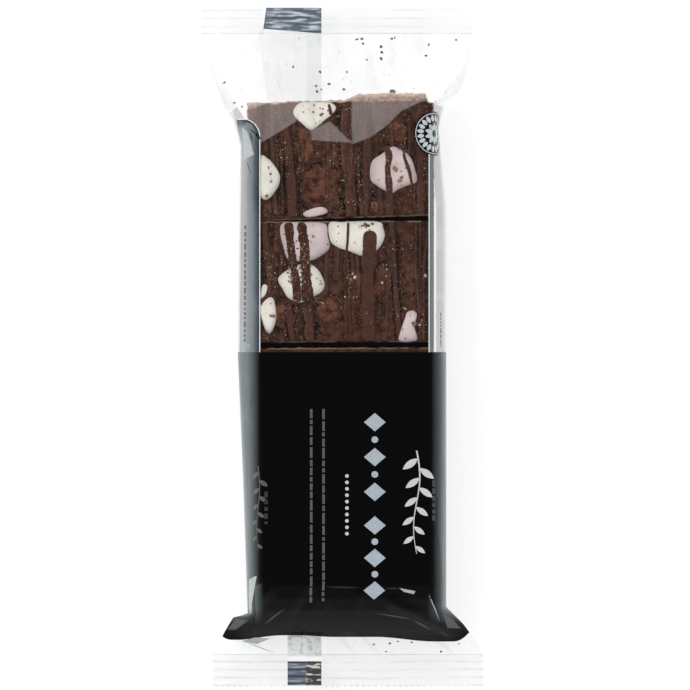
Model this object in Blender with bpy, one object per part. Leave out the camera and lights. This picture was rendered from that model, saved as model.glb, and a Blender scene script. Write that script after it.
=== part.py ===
"""A sealed film pack of chocolate biscuit cake, lying on its back: one closed solid.

The film is a tube sealed flat at both ends. It hugs four cake bars laid end to end, so its shape is
worked out from the bars, the film's flat width and the height of the end seals. What presses against
the film in the clear window (marshmallows, drizzle, the gaps between bars) shows as relief.
Metres, +Z up. +Y points at the end with the clear window, and the origin is under the middle of the
pack. The values below are millimetres, and the finished solid is scaled to metres.
"""

import math
from dataclasses import dataclass

import bmesh
import bpy
import numpy as np
from mathutils import Vector

MM = 0.001
SHARP_FROM_DEGREES = 32
CLOSE_ENOUGH = 0.0001
NODE_NAME = "film_pack"

# The bars inside: four in a row, so the row's length follows from one bar and the gap.
BAR_COUNT = 4
BAR_LENGTH = 44.2
BAR_GAP = 1.6
BAR_TILT = 0.02
ROW_END_Y = 91.0
ROW_START_Y = ROW_END_Y - BAR_COUNT * BAR_LENGTH - (BAR_COUNT - 1) * BAR_GAP
PACK_HEIGHT = 26.0

# The film: its tube lies flat at the seals, so both seals have the same width.
SEAL_HALF_WIDTH = 48.7
SEAL_HEIGHT = 9.0
SEAL_THICKNESS = 0.8
SEAL_TOP = SEAL_HEIGHT + SEAL_THICKNESS / 2
SEAL_BASE = SEAL_HEIGHT - SEAL_THICKNESS / 2
CRIMP_PITCH = 1.7
CRIMP_DEPTH = 0.22
TOOTH_PITCH = 2.2
TOOTH_DEPTH = 0.8

# Where each end seal starts and stops along Y, its centre across the pack, and its edge's slant.
TOP_SEAL_START = 112.9
TOP_SEAL_END = 122.2
TOP_SEAL_CENTRE = -2.0
TOP_SEAL_TILT = -0.011
BOTTOM_SEAL_START = -111.4
BOTTOM_SEAL_END = -122.7
BOTTOM_SEAL_CENTRE = 2.0
BOTTOM_SEAL_TILT = 0.0

# Each line is (distance along Y, value), straight between its points, as film creases are.
LEFT_EDGE = (
    (TOP_SEAL_START, TOP_SEAL_CENTRE - SEAL_HALF_WIDTH),
    (97.7, -46.8),
    (86.9, -43.2),
    (81.5, -39.6),
    (72.0, -36.9),
    (-1.0, -37.8),
    (-48.0, -35.8),
    (-96.6, -34.2),
    (-97.6, -39.3),
    (-103.0, -42.5),
    (BOTTOM_SEAL_START, BOTTOM_SEAL_CENTRE - SEAL_HALF_WIDTH),
)
RIGHT_EDGE = (
    (TOP_SEAL_START, TOP_SEAL_CENTRE + SEAL_HALF_WIDTH),
    (97.7, 44.3),
    (90.5, 41.8),
    (86.9, 36.6),
    (78.0, 34.6),
    (50.0, 37.4),
    (-94.0, 37.4),
    (-100.0, 43.4),
    (-103.2, 45.8),
    (BOTTOM_SEAL_START, BOTTOM_SEAL_CENTRE + SEAL_HALF_WIDTH),
)
LEFT_SHOULDER = (
    (TOP_SEAL_START, -36.0),
    (88.0, -31.0),
    (72.0, -28.8),
    (-88.0, -28.0),
    (-98.0, -30.0),
    (BOTTOM_SEAL_START, -34.0),
)
RIGHT_SHOULDER = (
    (TOP_SEAL_START, 33.0),
    (88.0, 31.6),
    (72.0, 31.2),
    (-88.0, 31.2),
    (-98.0, 33.0),
    (BOTTOM_SEAL_START, 38.0),
)
TOP_HEIGHT = (
    (TOP_SEAL_START, SEAL_TOP),
    (104.5, 13.8),
    (97.5, 18.6),
    (ROW_END_Y, 23.6),
    (81.0, 25.4),
    (70.0, PACK_HEIGHT),
    (ROW_START_Y + 5.0, PACK_HEIGHT),
    (ROW_START_Y, 24.6),
    (-95.0, 22.4),
    (-99.0, 19.2),
    (-102.6, 15.4),
    (-104.8, 12.2),
    (-107.0, 10.4),
    (BOTTOM_SEAL_START, SEAL_TOP),
)
BASE_HEIGHT = (
    (TOP_SEAL_START, SEAL_BASE),
    (104.0, 5.4),
    (95.0, 1.6),
    (ROW_END_Y, 0.4),
    (87.0, 0.0),
    (ROW_START_Y, 0.0),
    (-96.0, 0.8),
    (-102.0, 3.4),
    (-107.0, 7.2),
    (BOTTOM_SEAL_START, SEAL_BASE),
)
# 2 is an elliptic side, 1 a straight-faced ridge and below 1 a pinched one.
SIDE_FULLNESS = (
    (TOP_SEAL_START, 1.6),
    (96.0, 1.1),
    (87.0, 1.5),
    (78.0, 2.0),
    (-92.0, 2.0),
    (-97.0, 1.3),
    (-103.0, 0.9),
    (BOTTOM_SEAL_START, 1.6),
)

# Beyond this crease, which zigzags across the window, the film leaves the cake and slopes to the seal.
LIFT_CREASE = ((-28.8, 72.9), (-16.6, 80.8), (-11.2, 77.6), (4.3, 72.5), (31.7, 89.5))
LIFT_SLOPE = math.tan(math.radians(7.0))

# The back seam is a flap pressed flat against the back, wider towards the clear end.
FLAP_RIGHT = -7.6
FLAP_LEFT = ((BOTTOM_SEAL_START, -19.8), (60.0, -21.5), (88.0, -27.0), (TOP_SEAL_START, -30.5))
FLAP_GROOVE_WIDTH = 0.9
FLAP_GROOVE_DEPTH = 0.5

WINDOW_LEFT = -28.6
WINDOW_RIGHT = 31.5
WINDOW_END_Y = -2.0
PRINT_START_Y = 82.0
PRINT_END_Y = -104.8
# Faces of the film above this height lie on the cake or over it.
CAKE_TOP_FROM = 20.0

# The gaps show as grooves this deep, cut a little past the window and from above the film.
GAP_DEPTH = 1.3
GAP_FOOT_SHARE = 0.4
GAP_CLEARANCE = 2.0
GAP_OVERRUN = 1.0

# A lump's rings, from its sunk foot to its crown: share of its outline, share of its height.
LUMP_RINGS = ((1.0, -1.5), (1.0, 0.0), (0.93, 0.65), (0.72, 1.0))
LUMP_CURVE_STEPS = 3
THREAD_STEPS = 7
THREAD_SINK = 0.45

# How finely the tube is divided: across the top, round a side, and across the back.
TOP_COLUMNS = 20
SIDE_COLUMNS = 8
BACK_COLUMNS_RIGHT = 4
FLAP_COLUMNS = 3
BACK_COLUMNS_LEFT = 2
# Along Y, in steps of these lengths: short over the ends, long over the bars.
END_ROW_STEP = 2.1
MIDDLE_ROW_STEP = 9.0
TOP_END_FROM = ROW_END_Y - 20.0
BOTTOM_END_FROM = ROW_START_Y + 5.0
# Where the tube runs into a seal strip it is drawn in, so that the strip swallows it.
STUB_LENGTH = 1.6
STUB_WIDTH_SHARE = 0.985
STUB_HEIGHT_SHARE = 0.3
# How far a strip starts inside the tube, and its trimmer reaches past it all round.
STRIP_OVERLAP = 1.0
TRIM_MARGIN = 3.0


@dataclass(frozen=True)
class Fold:
    """A crease pulled into the film: a ridge from start to end, fading out across its width."""

    start: tuple
    end: tuple
    width: float
    height: float

    def lift(self, x, y):
        """How far the crease raises the film at (x, y)."""
        start = Vector(self.start)
        run = Vector(self.end) - start
        to_point = Vector((x, y)) - start
        share = to_point.dot(run) / run.length_squared
        nearest = start + run * min(1.0, max(0.0, share))
        away = (Vector((x, y)) - nearest).length / self.width
        return self.height * max(0.0, 1.0 - away)


@dataclass(frozen=True)
class Lump:
    """Something under the film that shows as a low raised patch with this outline."""

    name: str
    outline: tuple
    height: float
    material: str


@dataclass(frozen=True)
class Thread:
    """A thin thread of drizzle, as a low round ridge through these points."""

    name: str
    points: tuple
    radius: float


FOLDS = (
    Fold((-27.0, -88.0), (-43.0, -104.0), 4.0, 1.1),
    Fold((-12.0, -90.0), (-20.0, -103.0), 3.5, -0.6),
    Fold((6.0, -89.5), (2.0, -101.5), 4.0, 0.7),
    Fold((18.0, -92.5), (43.0, -105.0), 3.5, 0.9),
    Fold((33.0, -88.0), (39.5, -99.0), 3.0, 1.0),
    Fold((-30.0, 84.0), (-44.0, 104.0), 4.5, 0.9),
    Fold((-2.0, 88.0), (-6.0, 108.0), 4.5, 0.7),
    Fold((30.0, 88.0), (14.0, 106.0), 4.0, 0.8),
)

LUMPS = (
    Lump("white_1", ((-16.0, 86.9), (-17.4, 82.4), (-11.6, 77.4), (-7.2, 79.5), (-2.2, 83.4),
                     (-2.8, 86.9)), 1.0, "marshmallow_white"),
    Lump("white_2", ((-28.4, 68.6), (-25.0, 66.6), (-22.4, 61.5), (-23.0, 57.6), (-25.6, 53.0),
                     (-28.4, 53.6)), 1.0, "marshmallow_white"),
    Lump("pink_3", ((18.2, 71.9), (10.4, 66.9), (10.0, 60.2), (16.4, 55.5), (21.4, 57.0),
                    (26.4, 60.0), (25.5, 66.6), (21.2, 71.0)), 1.0, "marshmallow_pink"),
    Lump("pink_4", ((-14.0, 47.8), (-8.8, 50.2), (-6.0, 48.2), (-10.6, 46.4)), 0.7,
         "marshmallow_pink"),
    Lump("pink_5", ((-22.2, 44.0), (-7.0, 44.6), (-5.2, 38.6), (-4.4, 36.2), (-9.0, 31.2),
                    (-19.4, 31.0)), 1.0, "marshmallow_pink"),
    Lump("white_6", ((-4.8, 44.4), (13.6, 45.0), (15.4, 40.4), (13.4, 34.8), (7.0, 32.6),
                     (-3.6, 37.4)), 1.0, "marshmallow_white"),
    Lump("white_7", ((-12.2, 29.6), (-20.0, 27.2), (-23.2, 24.2), (-21.0, 18.0), (-17.4, 16.4),
                     (-9.4, 18.0), (-6.0, 21.6), (-8.4, 27.2)), 1.0, "marshmallow_white"),
    Lump("white_8", ((-28.4, 20.6), (-26.2, 22.4), (-24.6, 15.0), (-23.6, 10.0), (-26.0, 4.8),
                     (-28.4, 9.0)), 1.0, "marshmallow_white"),
    Lump("pink_9", ((23.2, 12.2), (26.4, 12.8), (27.2, 1.6), (20.6, 2.0)), 0.9,
         "marshmallow_pink"),
    Lump("wide_drizzle_1", ((-19.6, 73.6), (-16.2, 73.6), (-15.0, 51.6), (-17.6, 51.6)), 0.45,
         "chocolate"),
    Lump("wide_drizzle_2", ((-2.2, 73.6), (4.0, 72.2), (5.6, 51.4), (-1.0, 51.4)), 0.4,
         "chocolate"),
    Lump("wide_drizzle_3", ((8.0, 31.4), (12.0, 31.4), (11.9, 2.4), (7.4, 2.4)), 0.45,
         "chocolate"),
    Lump("biscuit_1", ((-14.4, 62.0), (-9.0, 63.4), (-2.6, 61.4), (-2.8, 53.4), (-8.0, 51.4),
                       (-14.0, 52.8)), 0.6, "chocolate"),
    Lump("biscuit_2", ((13.2, 31.6), (17.0, 31.4), (17.2, 16.2), (13.4, 15.6)), 0.6, "chocolate"),
)

THREADS = (
    Thread("thread_1", ((-23.4, 84.0), (-23.2, 76.0), (-23.6, 70.6)), 0.7),
    Thread("thread_2", ((4.6, 85.0), (5.0, 68.0), (6.6, 49.0)), 0.8),
    Thread("thread_3", ((16.4, 71.2), (16.8, 60.0), (17.2, 48.4)), 1.2),
    Thread("thread_4", ((22.4, 72.4), (24.4, 64.0), (25.2, 58.0)), 0.7),
    Thread("thread_5", ((-19.4, 44.4), (-17.6, 32.0), (-15.6, 17.0)), 1.1),
    Thread("thread_6", ((-15.4, 44.4), (-14.2, 32.0), (-12.2, 17.0)), 1.3),
    Thread("thread_7", ((1.8, 44.2), (2.2, 30.0), (2.6, 2.0)), 0.6),
    Thread("thread_8", ((17.6, 43.0), (18.4, 24.0), (20.0, 4.0)), 0.9),
    Thread("thread_9", ((27.0, 43.0), (27.4, 28.0), (28.0, 10.0)), 0.6),
)

# Colour, roughness and how much of the light behind comes through.
MATERIALS = {
    "clear_film": ((0.86, 0.88, 0.88), 0.12, 0.35),
    "black_print": ((0.012, 0.012, 0.013), 0.22, 1.0),
    "chocolate": ((0.085, 0.045, 0.032), 0.45, 1.0),
    "marshmallow_white": ((0.80, 0.78, 0.72), 0.8, 1.0),
    "marshmallow_pink": ((0.74, 0.62, 0.63), 0.8, 1.0),
}


def along(line, y):
    """The value of a (distance, value) line at y, straight between its points."""
    points = sorted(line)
    return float(np.interp(y, [p[0] for p in points], [p[1] for p in points]))


def lift_drop(x, y):
    """How far the film has sloped down past the crease where it leaves the cake."""
    crease_y = float(np.interp(x, [p[0] for p in LIFT_CREASE], [p[1] for p in LIFT_CREASE]))
    return LIFT_SLOPE * min(max(0.0, y - crease_y), ROW_END_Y - crease_y)


def top_height(x, y):
    """Height of the film's upper face over the flat part of the pack."""
    shaped = along(TOP_HEIGHT, y)
    drop = lift_drop(x, y)
    if y > ROW_END_Y:
        drop *= (shaped - SEAL_TOP) / (along(TOP_HEIGHT, ROW_END_Y) - SEAL_TOP)
    return shaped - drop + sum(fold.lift(x, y) for fold in FOLDS)


def side_points(y, inner, outer, downwards):
    """Points round one side, from the upper shoulder to the lower one, or back up."""
    high = along(TOP_HEIGHT, y)
    low = along(BASE_HEIGHT, y)
    middle = (high + low) / 2
    half_height = (high - low) / 2
    power = 2 / along(SIDE_FULLNESS, y)
    points = []
    for step in range(SIDE_COLUMNS + 1):
        angle = math.radians(90 - 180 * step / SIDE_COLUMNS)
        reach = max(0.0, math.cos(angle) - CLOSE_ENOUGH) ** power
        rise = math.copysign(abs(math.sin(angle)) ** power, math.sin(angle))
        x = inner + (outer - inner) * reach
        z = middle + half_height * rise
        if rise > 0:
            z += (top_height(inner, y) - high) * rise
        points.append((x, y, z))
    return points if downwards else points[::-1]


def back_points(y, left, right):
    """Points across the back, right to left, with a groove along each edge of the seam flap."""
    base = along(BASE_HEIGHT, y)
    flap_left = along(FLAP_LEFT, y)
    room = along(TOP_HEIGHT, y) - base
    deep = base + FLAP_GROOVE_DEPTH * min(1.0, room / (4 * SEAL_THICKNESS))
    half = FLAP_GROOVE_WIDTH / 2
    stops = [(x, base) for x in np.linspace(right, FLAP_RIGHT + 2 * half, BACK_COLUMNS_RIGHT + 1)]
    stops.append((FLAP_RIGHT + half, deep))
    stops += [(x, base) for x in np.linspace(FLAP_RIGHT, flap_left, FLAP_COLUMNS + 1)]
    stops.append((flap_left - half, deep))
    stops += [(x, base) for x in np.linspace(flap_left - 2 * half, left, BACK_COLUMNS_LEFT + 1)]
    return [(float(x), y, z) for x, z in stops]


def ring_points(y):
    """One closed ring of the film at distance y: top left to right, then round underneath."""
    left = along(LEFT_SHOULDER, y)
    right = along(RIGHT_SHOULDER, y)
    top = [(float(x), y, top_height(x, y)) for x in np.linspace(left, right, TOP_COLUMNS + 1)]
    right_side = side_points(y, right, along(RIGHT_EDGE, y), downwards=True)
    back = back_points(y, left, right)
    left_side = side_points(y, left, along(LEFT_EDGE, y), downwards=False)
    return top + right_side[1:] + back[1:] + left_side[1:-1]


def row_places():
    """Distances along Y for the rings: close together at the ends, wide apart over the bars."""
    places = []
    for start, stop, step in (
        (TOP_SEAL_START, TOP_END_FROM, END_ROW_STEP),
        (TOP_END_FROM, BOTTOM_END_FROM, MIDDLE_ROW_STEP),
        (BOTTOM_END_FROM, BOTTOM_SEAL_START, END_ROW_STEP),
    ):
        count = round(abs(start - stop) / step)
        places += list(np.linspace(start, stop, count + 1))[:-1]
    return [float(y) for y in places] + [BOTTOM_SEAL_START]


def stub_ring(y, points):
    """A ring moved out into the seal and shrunk a little, so that the seal strip swallows it."""
    centre = sum(p[0] for p in points) / len(points)
    return [
        (
            centre + (x - centre) * STUB_WIDTH_SHARE,
            y,
            SEAL_HEIGHT + (z - SEAL_HEIGHT) * STUB_HEIGHT_SHARE,
        )
        for x, _, z in points
    ]


def make_material(name):
    """A Principled material with the colour, roughness and cover of its row in MATERIALS."""
    colour, roughness, cover = MATERIALS[name]
    material = bpy.data.materials.new(name)
    material.use_nodes = True
    shader = material.node_tree.nodes["Principled BSDF"]
    shader.inputs["Base Color"].default_value = (*colour, 1.0)
    shader.inputs["Roughness"].default_value = roughness
    shader.inputs["Metallic"].default_value = 0.0
    shader.inputs["Alpha"].default_value = cover
    material.diffuse_color = (*colour, cover)
    return material


def object_from(name, bm, material_names):
    """Links a new object that holds this bmesh and these materials."""
    bmesh.ops.recalc_face_normals(bm, faces=bm.faces)
    mesh = bpy.data.meshes.new(name)
    bm.to_mesh(mesh)
    bm.free()
    for material_name in material_names:
        mesh.materials.append(bpy.data.materials[material_name])
    made = bpy.data.objects.new(name, mesh)
    bpy.context.scene.collection.objects.link(made)
    return made


def film_look(centre):
    """The material of one face of the tube, from the place of its middle."""
    on_top = centre.z > CAKE_TOP_FROM
    in_window = WINDOW_LEFT < centre.x < WINDOW_RIGHT and WINDOW_END_Y < centre.y < ROW_END_Y
    if on_top and in_window:
        return "chocolate"
    printed = PRINT_END_Y < centre.y < PRINT_START_Y
    return "black_print" if printed else "clear_film"


def make_tube():
    """The filled film tube between the two end seals, as rings joined by faces."""
    rows = row_places()
    rings = [ring_points(y) for y in rows]
    rings.insert(0, stub_ring(TOP_SEAL_START + STUB_LENGTH, rings[0]))
    rings.append(stub_ring(BOTTOM_SEAL_START - STUB_LENGTH, rings[-1]))
    bm = bmesh.new()
    loops = [[bm.verts.new(point) for point in ring] for ring in rings]
    for upper, lower in zip(loops, loops[1:]):
        for i, corner in enumerate(upper):
            following = (i + 1) % len(upper)
            bm.faces.new((corner, upper[following], lower[following], lower[i]))
    bm.faces.new(loops[0])
    bm.faces.new(loops[-1])
    looks = ("clear_film", "black_print", "chocolate")
    for face in bm.faces:
        face.material_index = looks.index(film_look(face.calc_center_median()))
    return object_from(NODE_NAME, bm, looks)


def crimp_profile(start, end):
    """Side outline of a crimped seal, along Y and Z: both faces wave together."""
    count = round(abs(end - start) / (CRIMP_PITCH / 2))
    places = np.linspace(start, end, count + 1)
    waves = [CRIMP_DEPTH * (-1) ** i for i in range(count + 1)]
    upper = [(y, SEAL_TOP + wave) for y, wave in zip(places, waves)]
    lower = [(y, SEAL_BASE + wave) for y, wave in zip(places, waves)]
    return upper + lower[::-1]


def toothed_outline(start, end, centre, tilt):
    """Plan outline of a seal: three straight sides and an outer edge cut in small teeth."""
    left = centre - SEAL_HALF_WIDTH
    right = centre + SEAL_HALF_WIDTH
    outward = math.copysign(1.0, end - start)
    teeth = round(2 * SEAL_HALF_WIDTH / TOOTH_PITCH)
    edge = []
    for i in range(2 * teeth + 1):
        x = left + (right - left) * i / (2 * teeth)
        tip = TOOTH_DEPTH / 2 if i % 2 else -TOOTH_DEPTH / 2
        edge.append((x, end + tilt * (x - centre) + outward * tip))
    inside = start - STRIP_OVERLAP * outward
    return [(right, inside), (left, inside), *edge]


def extruded(bm, points, offset):
    """Adds a flat polygon through these points and draws it out into a closed solid."""
    face = bm.faces.new([bm.verts.new(point) for point in points])
    drawn = bmesh.ops.extrude_face_region(bm, geom=[face])
    moved = [item for item in drawn["geom"] if isinstance(item, bmesh.types.BMVert)]
    bmesh.ops.translate(bm, verts=moved, vec=offset)


def apply_boolean(target, operation, others):
    """Cuts or joins these objects with the target, keeps the result and removes them."""
    group = bpy.data.collections.new(f"{target.name}_{operation.lower()}")
    bpy.context.scene.collection.children.link(group)
    for other in others:
        group.objects.link(other)
    modifier = target.modifiers.new(operation.title(), "BOOLEAN")
    modifier.operation = operation
    modifier.solver = "EXACT"
    modifier.operand_type = "COLLECTION"
    modifier.collection = group
    modifier.material_mode = "TRANSFER"
    depsgraph = bpy.context.evaluated_depsgraph_get()
    joined = bpy.data.meshes.new_from_object(target.evaluated_get(depsgraph))
    target.modifiers.clear()
    target.data = joined
    for other in others:
        bpy.data.objects.remove(other)
    bpy.data.collections.remove(group)
    return target


def make_seal(name, start, end, centre, tilt):
    """A crimped end seal: a waved strip trimmed to the toothed outline."""
    outward = math.copysign(1.0, end - start)
    reach = SEAL_HALF_WIDTH + TRIM_MARGIN
    strip_bm = bmesh.new()
    profile = crimp_profile(start - STRIP_OVERLAP / 2 * outward, end + TRIM_MARGIN * outward)
    extruded(strip_bm, [(centre - reach, y, z) for y, z in profile], (2 * reach, 0.0, 0.0))
    strip = object_from(name, strip_bm, ("clear_film",))
    trim_bm = bmesh.new()
    outline = toothed_outline(start, end, centre, tilt)
    below = SEAL_HEIGHT - TRIM_MARGIN
    extruded(trim_bm, [(x, y, below) for x, y in outline], (0.0, 0.0, 2 * TRIM_MARGIN))
    trim = object_from(f"{name}_trim", trim_bm, ("clear_film",))
    return apply_boolean(strip, "INTERSECT", [trim])


def rounded(outline):
    """A closed Catmull-Rom curve through the outline's points."""
    count = len(outline)
    points = []
    for i in range(count):
        before, start, end, after = (Vector(outline[(i + k - 1) % count]) for k in range(4))
        for step in range(LUMP_CURVE_STEPS):
            t = step / LUMP_CURVE_STEPS
            points.append(
                0.5
                * (
                    2 * start
                    + (end - before) * t
                    + (2 * before - 5 * start + 4 * end - after) * t**2
                    + (3 * start - before - 3 * end + after) * t**3
                )
            )
    return points


def make_lump(lump):
    """A low dome on the film over one thing that presses against it."""
    outline = rounded(lump.outline)
    middle = sum(outline, Vector((0.0, 0.0))) / len(outline)
    bm = bmesh.new()
    rings = []
    for shrink, rise in LUMP_RINGS:
        ring = []
        for point in outline:
            place = middle + (point - middle) * shrink
            height = top_height(place.x, place.y) + lump.height * rise
            ring.append(bm.verts.new((place.x, place.y, height)))
        rings.append(ring)
    for lower, upper in zip(rings, rings[1:]):
        for i, corner in enumerate(lower):
            following = (i + 1) % len(lower)
            bm.faces.new((corner, lower[following], upper[following], upper[i]))
    bm.faces.new(rings[0])
    bm.faces.new(rings[-1])
    bmesh.ops.triangulate(bm, faces=[f for f in bm.faces if len(f.verts) > 4])
    return object_from(lump.name, bm, (lump.material,))


def make_thread(thread):
    """A thread of drizzle: a round curve with filled ends, half sunk in the film's top."""
    curve = bpy.data.curves.new(thread.name, "CURVE")
    curve.dimensions = "3D"
    curve.bevel_depth = thread.radius
    curve.bevel_resolution = 1
    curve.use_fill_caps = True
    spline = curve.splines.new("POLY")
    start, middle, end = (Vector(point) for point in thread.points)
    spline.points.add(THREAD_STEPS)
    for i, point in enumerate(spline.points):
        t = i / THREAD_STEPS
        place = start * (1 - t) ** 2 + middle * 2 * t * (1 - t) + end * t**2
        height = top_height(place.x, place.y) - thread.radius * THREAD_SINK
        point.co = (place.x, place.y, height, 1.0)
    holder = bpy.data.objects.new(thread.name, curve)
    bpy.context.scene.collection.objects.link(holder)
    depsgraph = bpy.context.evaluated_depsgraph_get()
    mesh = bpy.data.meshes.new_from_object(holder.evaluated_get(depsgraph))
    bpy.data.objects.remove(holder)
    bm = bmesh.new()
    bm.from_mesh(mesh)
    bmesh.ops.remove_doubles(bm, verts=bm.verts, dist=CLOSE_ENOUGH)
    return object_from(thread.name, bm, ("chocolate",))


def make_gap(index):
    """A cutter along one gap between bars, where the film sinks in, across the window."""
    y = ROW_END_Y - index * (BAR_LENGTH + BAR_GAP) + BAR_GAP / 2
    half_top = BAR_GAP / 2
    half_foot = half_top * GAP_FOOT_SHARE
    section = ((-half_top, GAP_CLEARANCE), (-half_foot, -GAP_DEPTH), (half_foot, -GAP_DEPTH),
               (half_top, GAP_CLEARANCE))
    left = WINDOW_LEFT - GAP_OVERRUN
    width = WINDOW_RIGHT + GAP_OVERRUN - left
    start_y = y + BAR_TILT * left
    bm = bmesh.new()
    points = [(left, start_y + across, PACK_HEIGHT + up) for across, up in section]
    extruded(bm, points, (width, BAR_TILT * width, 0.0))
    return object_from(f"gap_{index}", bm, ("chocolate",))


def scale_to_metres(target):
    """Turns the millimetres used above into metres and shades the film smooth."""
    for vertex in target.data.vertices:
        vertex.co = vertex.co * MM
    target.data.shade_smooth()
    target.data.set_sharp_from_angle(angle=math.radians(SHARP_FROM_DEGREES))


def main():
    """Builds the pack: the tube with its gaps, then the seals, lumps and threads joined to it."""
    for existing in list(bpy.data.objects):
        bpy.data.objects.remove(existing)
    for name in MATERIALS:
        make_material(name)
    pack = make_tube()
    shown_gaps = [make_gap(index) for index in range(1, BAR_COUNT - 1)]
    apply_boolean(pack, "DIFFERENCE", shown_gaps)
    seals = [
        make_seal("top_seal", TOP_SEAL_START, TOP_SEAL_END, TOP_SEAL_CENTRE, TOP_SEAL_TILT),
        make_seal(
            "bottom_seal", BOTTOM_SEAL_START, BOTTOM_SEAL_END, BOTTOM_SEAL_CENTRE, BOTTOM_SEAL_TILT
        ),
    ]
    lumps = [make_lump(lump) for lump in LUMPS]
    threads = [make_thread(thread) for thread in THREADS]
    apply_boolean(pack, "UNION", seals + lumps + threads)
    scale_to_metres(pack)


main()
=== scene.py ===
"""A sealed film pack of chocolate biscuit cake bars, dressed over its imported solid.

The solid is one closed pack. Here it becomes a thin film, clear with a black printed sleeve, over
four cake bars with marshmallows, drizzle and crumbs. Every form below is worked out in millimetres
and becomes metres when its mesh is made. +Y points at the end with the clear window, +Z is up.
"""

from __future__ import annotations

import logging
import math
from collections.abc import Iterable, Sequence
from dataclasses import dataclass, field
from enum import Enum
from functools import cache, cached_property, partialmethod

import bpy
import numpy as np
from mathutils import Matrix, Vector


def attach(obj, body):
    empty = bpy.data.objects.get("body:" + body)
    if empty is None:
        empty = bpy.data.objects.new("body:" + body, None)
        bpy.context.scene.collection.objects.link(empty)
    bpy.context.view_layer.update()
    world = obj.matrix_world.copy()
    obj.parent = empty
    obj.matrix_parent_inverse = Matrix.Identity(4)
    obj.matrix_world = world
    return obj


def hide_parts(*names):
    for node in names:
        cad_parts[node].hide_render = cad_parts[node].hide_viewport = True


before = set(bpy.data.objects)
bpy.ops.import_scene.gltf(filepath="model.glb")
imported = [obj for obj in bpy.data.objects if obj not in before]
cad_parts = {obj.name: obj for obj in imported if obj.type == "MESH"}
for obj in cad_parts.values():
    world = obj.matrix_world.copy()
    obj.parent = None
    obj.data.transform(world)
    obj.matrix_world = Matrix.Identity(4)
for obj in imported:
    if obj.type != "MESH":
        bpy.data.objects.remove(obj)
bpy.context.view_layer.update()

LOG = logging.getLogger("cake_pack")
MM = 0.001
NODE = "film_pack"
BODY = "root"
Pair = tuple[float, float]
Array = np.ndarray
Material = bpy.types.Material
Object = bpy.types.Object


class Slot(Enum):
    """The pack's material slots."""

    FILM = "film"
    CHOCOLATE = "chocolate"
    WHITE = "marshmallow_white"
    PINK = "marshmallow_pink"


Pieces = list[tuple[Object, Slot]]


class Grain:
    """Smooth random relief on a lattice that repeats, the same on every run."""

    SIZE = 256

    def __init__(self, seed: int) -> None:
        """Draws the lattice.

        Args:
            seed: Which of the endless random lattices to use.
        """
        self.lattice = np.random.default_rng(seed).random((self.SIZE, self.SIZE)) * 2 - 1

    def at(self, x: Array, y: Array, cell: float, cell_y: float = 0.0) -> Array:
        """The relief at some places.

        Args:
            x: Places across, in millimetres.
            y: Places along, in millimetres.
            cell: Size of one random patch.
            cell_y: Its size along y where that differs, as for streaks.

        Returns:
            Values from -1 to 1.
        """
        u = np.asarray(x, float) / cell + 31.7
        v = np.asarray(y, float) / (cell_y or cell) + 17.3
        iu, iv = np.floor(u).astype(int), np.floor(v).astype(int)
        fu, fv = u - iu, v - iv
        fu, fv = fu * fu * (3 - 2 * fu), fv * fv * (3 - 2 * fv)
        left, right = iu % self.SIZE, (iu + 1) % self.SIZE
        low, high = iv % self.SIZE, (iv + 1) % self.SIZE
        below = self.lattice[left, low] * (1 - fu) + self.lattice[right, low] * fu
        above = self.lattice[left, high] * (1 - fu) + self.lattice[right, high] * fu
        return below * (1 - fv) + above * fv


def bump(distance: Array, reach: float) -> Array:
    """A soft hump: 1 where the distance is 0, and 0 from the reach outwards."""
    share = np.clip(1 - (np.asarray(distance) / reach) ** 2, 0, 1)
    return share * share * (3 - 2 * share)


def rounded(outline: Sequence[Pair], steps: int = 8) -> Array:
    """A closed smooth curve through an outline's points.

    Args:
        outline: The points, in order round the shape.
        steps: How many points to make between two of them.

    Returns:
        The curve's points, one a row.
    """
    points = np.array(outline, float)
    before, after = np.roll(points, 1, 0), np.roll(points, -1, 0)
    beyond = np.roll(points, -2, 0)
    made = []
    for i in range(len(points)):
        a, b, c, d = before[i], points[i], after[i], beyond[i]
        for t in np.arange(steps) / steps:
            cubic = (3 * b - a - 3 * c + d) * t**3
            made.append(0.5 * (2 * b + (c - a) * t + (2 * a - 5 * b + 4 * c - d) * t * t + cubic))
    return np.array(made)


def soft_inside(outline: Sequence[Pair], x: Array, y: Array, soft: float) -> Array:
    """How far inside an outline some places are.

    Args:
        outline: The corners, in order.
        x: Places across.
        y: Places along.
        soft: Over which distance the value rises.

    Returns:
        0 outside, 1 well inside, and between them near the edge.
    """
    corners = np.array(outline, float)
    crossings = np.zeros(x.shape, int)
    nearest = np.full(x.shape, 1e9)
    for (ax, ay), (bx, by) in zip(corners, np.roll(corners, -1, 0)):
        run = (bx - ax) ** 2 + (by - ay) ** 2
        share = np.clip(((x - ax) * (bx - ax) + (y - ay) * (by - ay)) / run, 0, 1)
        away = np.hypot(x - ax - share * (bx - ax), y - ay - share * (by - ay))
        nearest = np.minimum(nearest, away)
        if ay != by:
            straddles = (ay > y) != (by > y)
            crossings += straddles & (x < ax + (y - ay) * (bx - ax) / (by - ay))
    signed = np.where(crossings % 2 == 1, nearest, -nearest)
    return np.clip(0.5 + signed / soft, 0, 1)


def in_scene(name: str, data: bpy.types.ID) -> Object:
    """Puts a mesh, curve, light or camera in the scene.

    Args:
        name: The object's name.
        data: What it holds.

    Returns:
        The object.
    """
    made = bpy.data.objects.new(name, data)
    bpy.context.scene.collection.objects.link(made)
    return made


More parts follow.
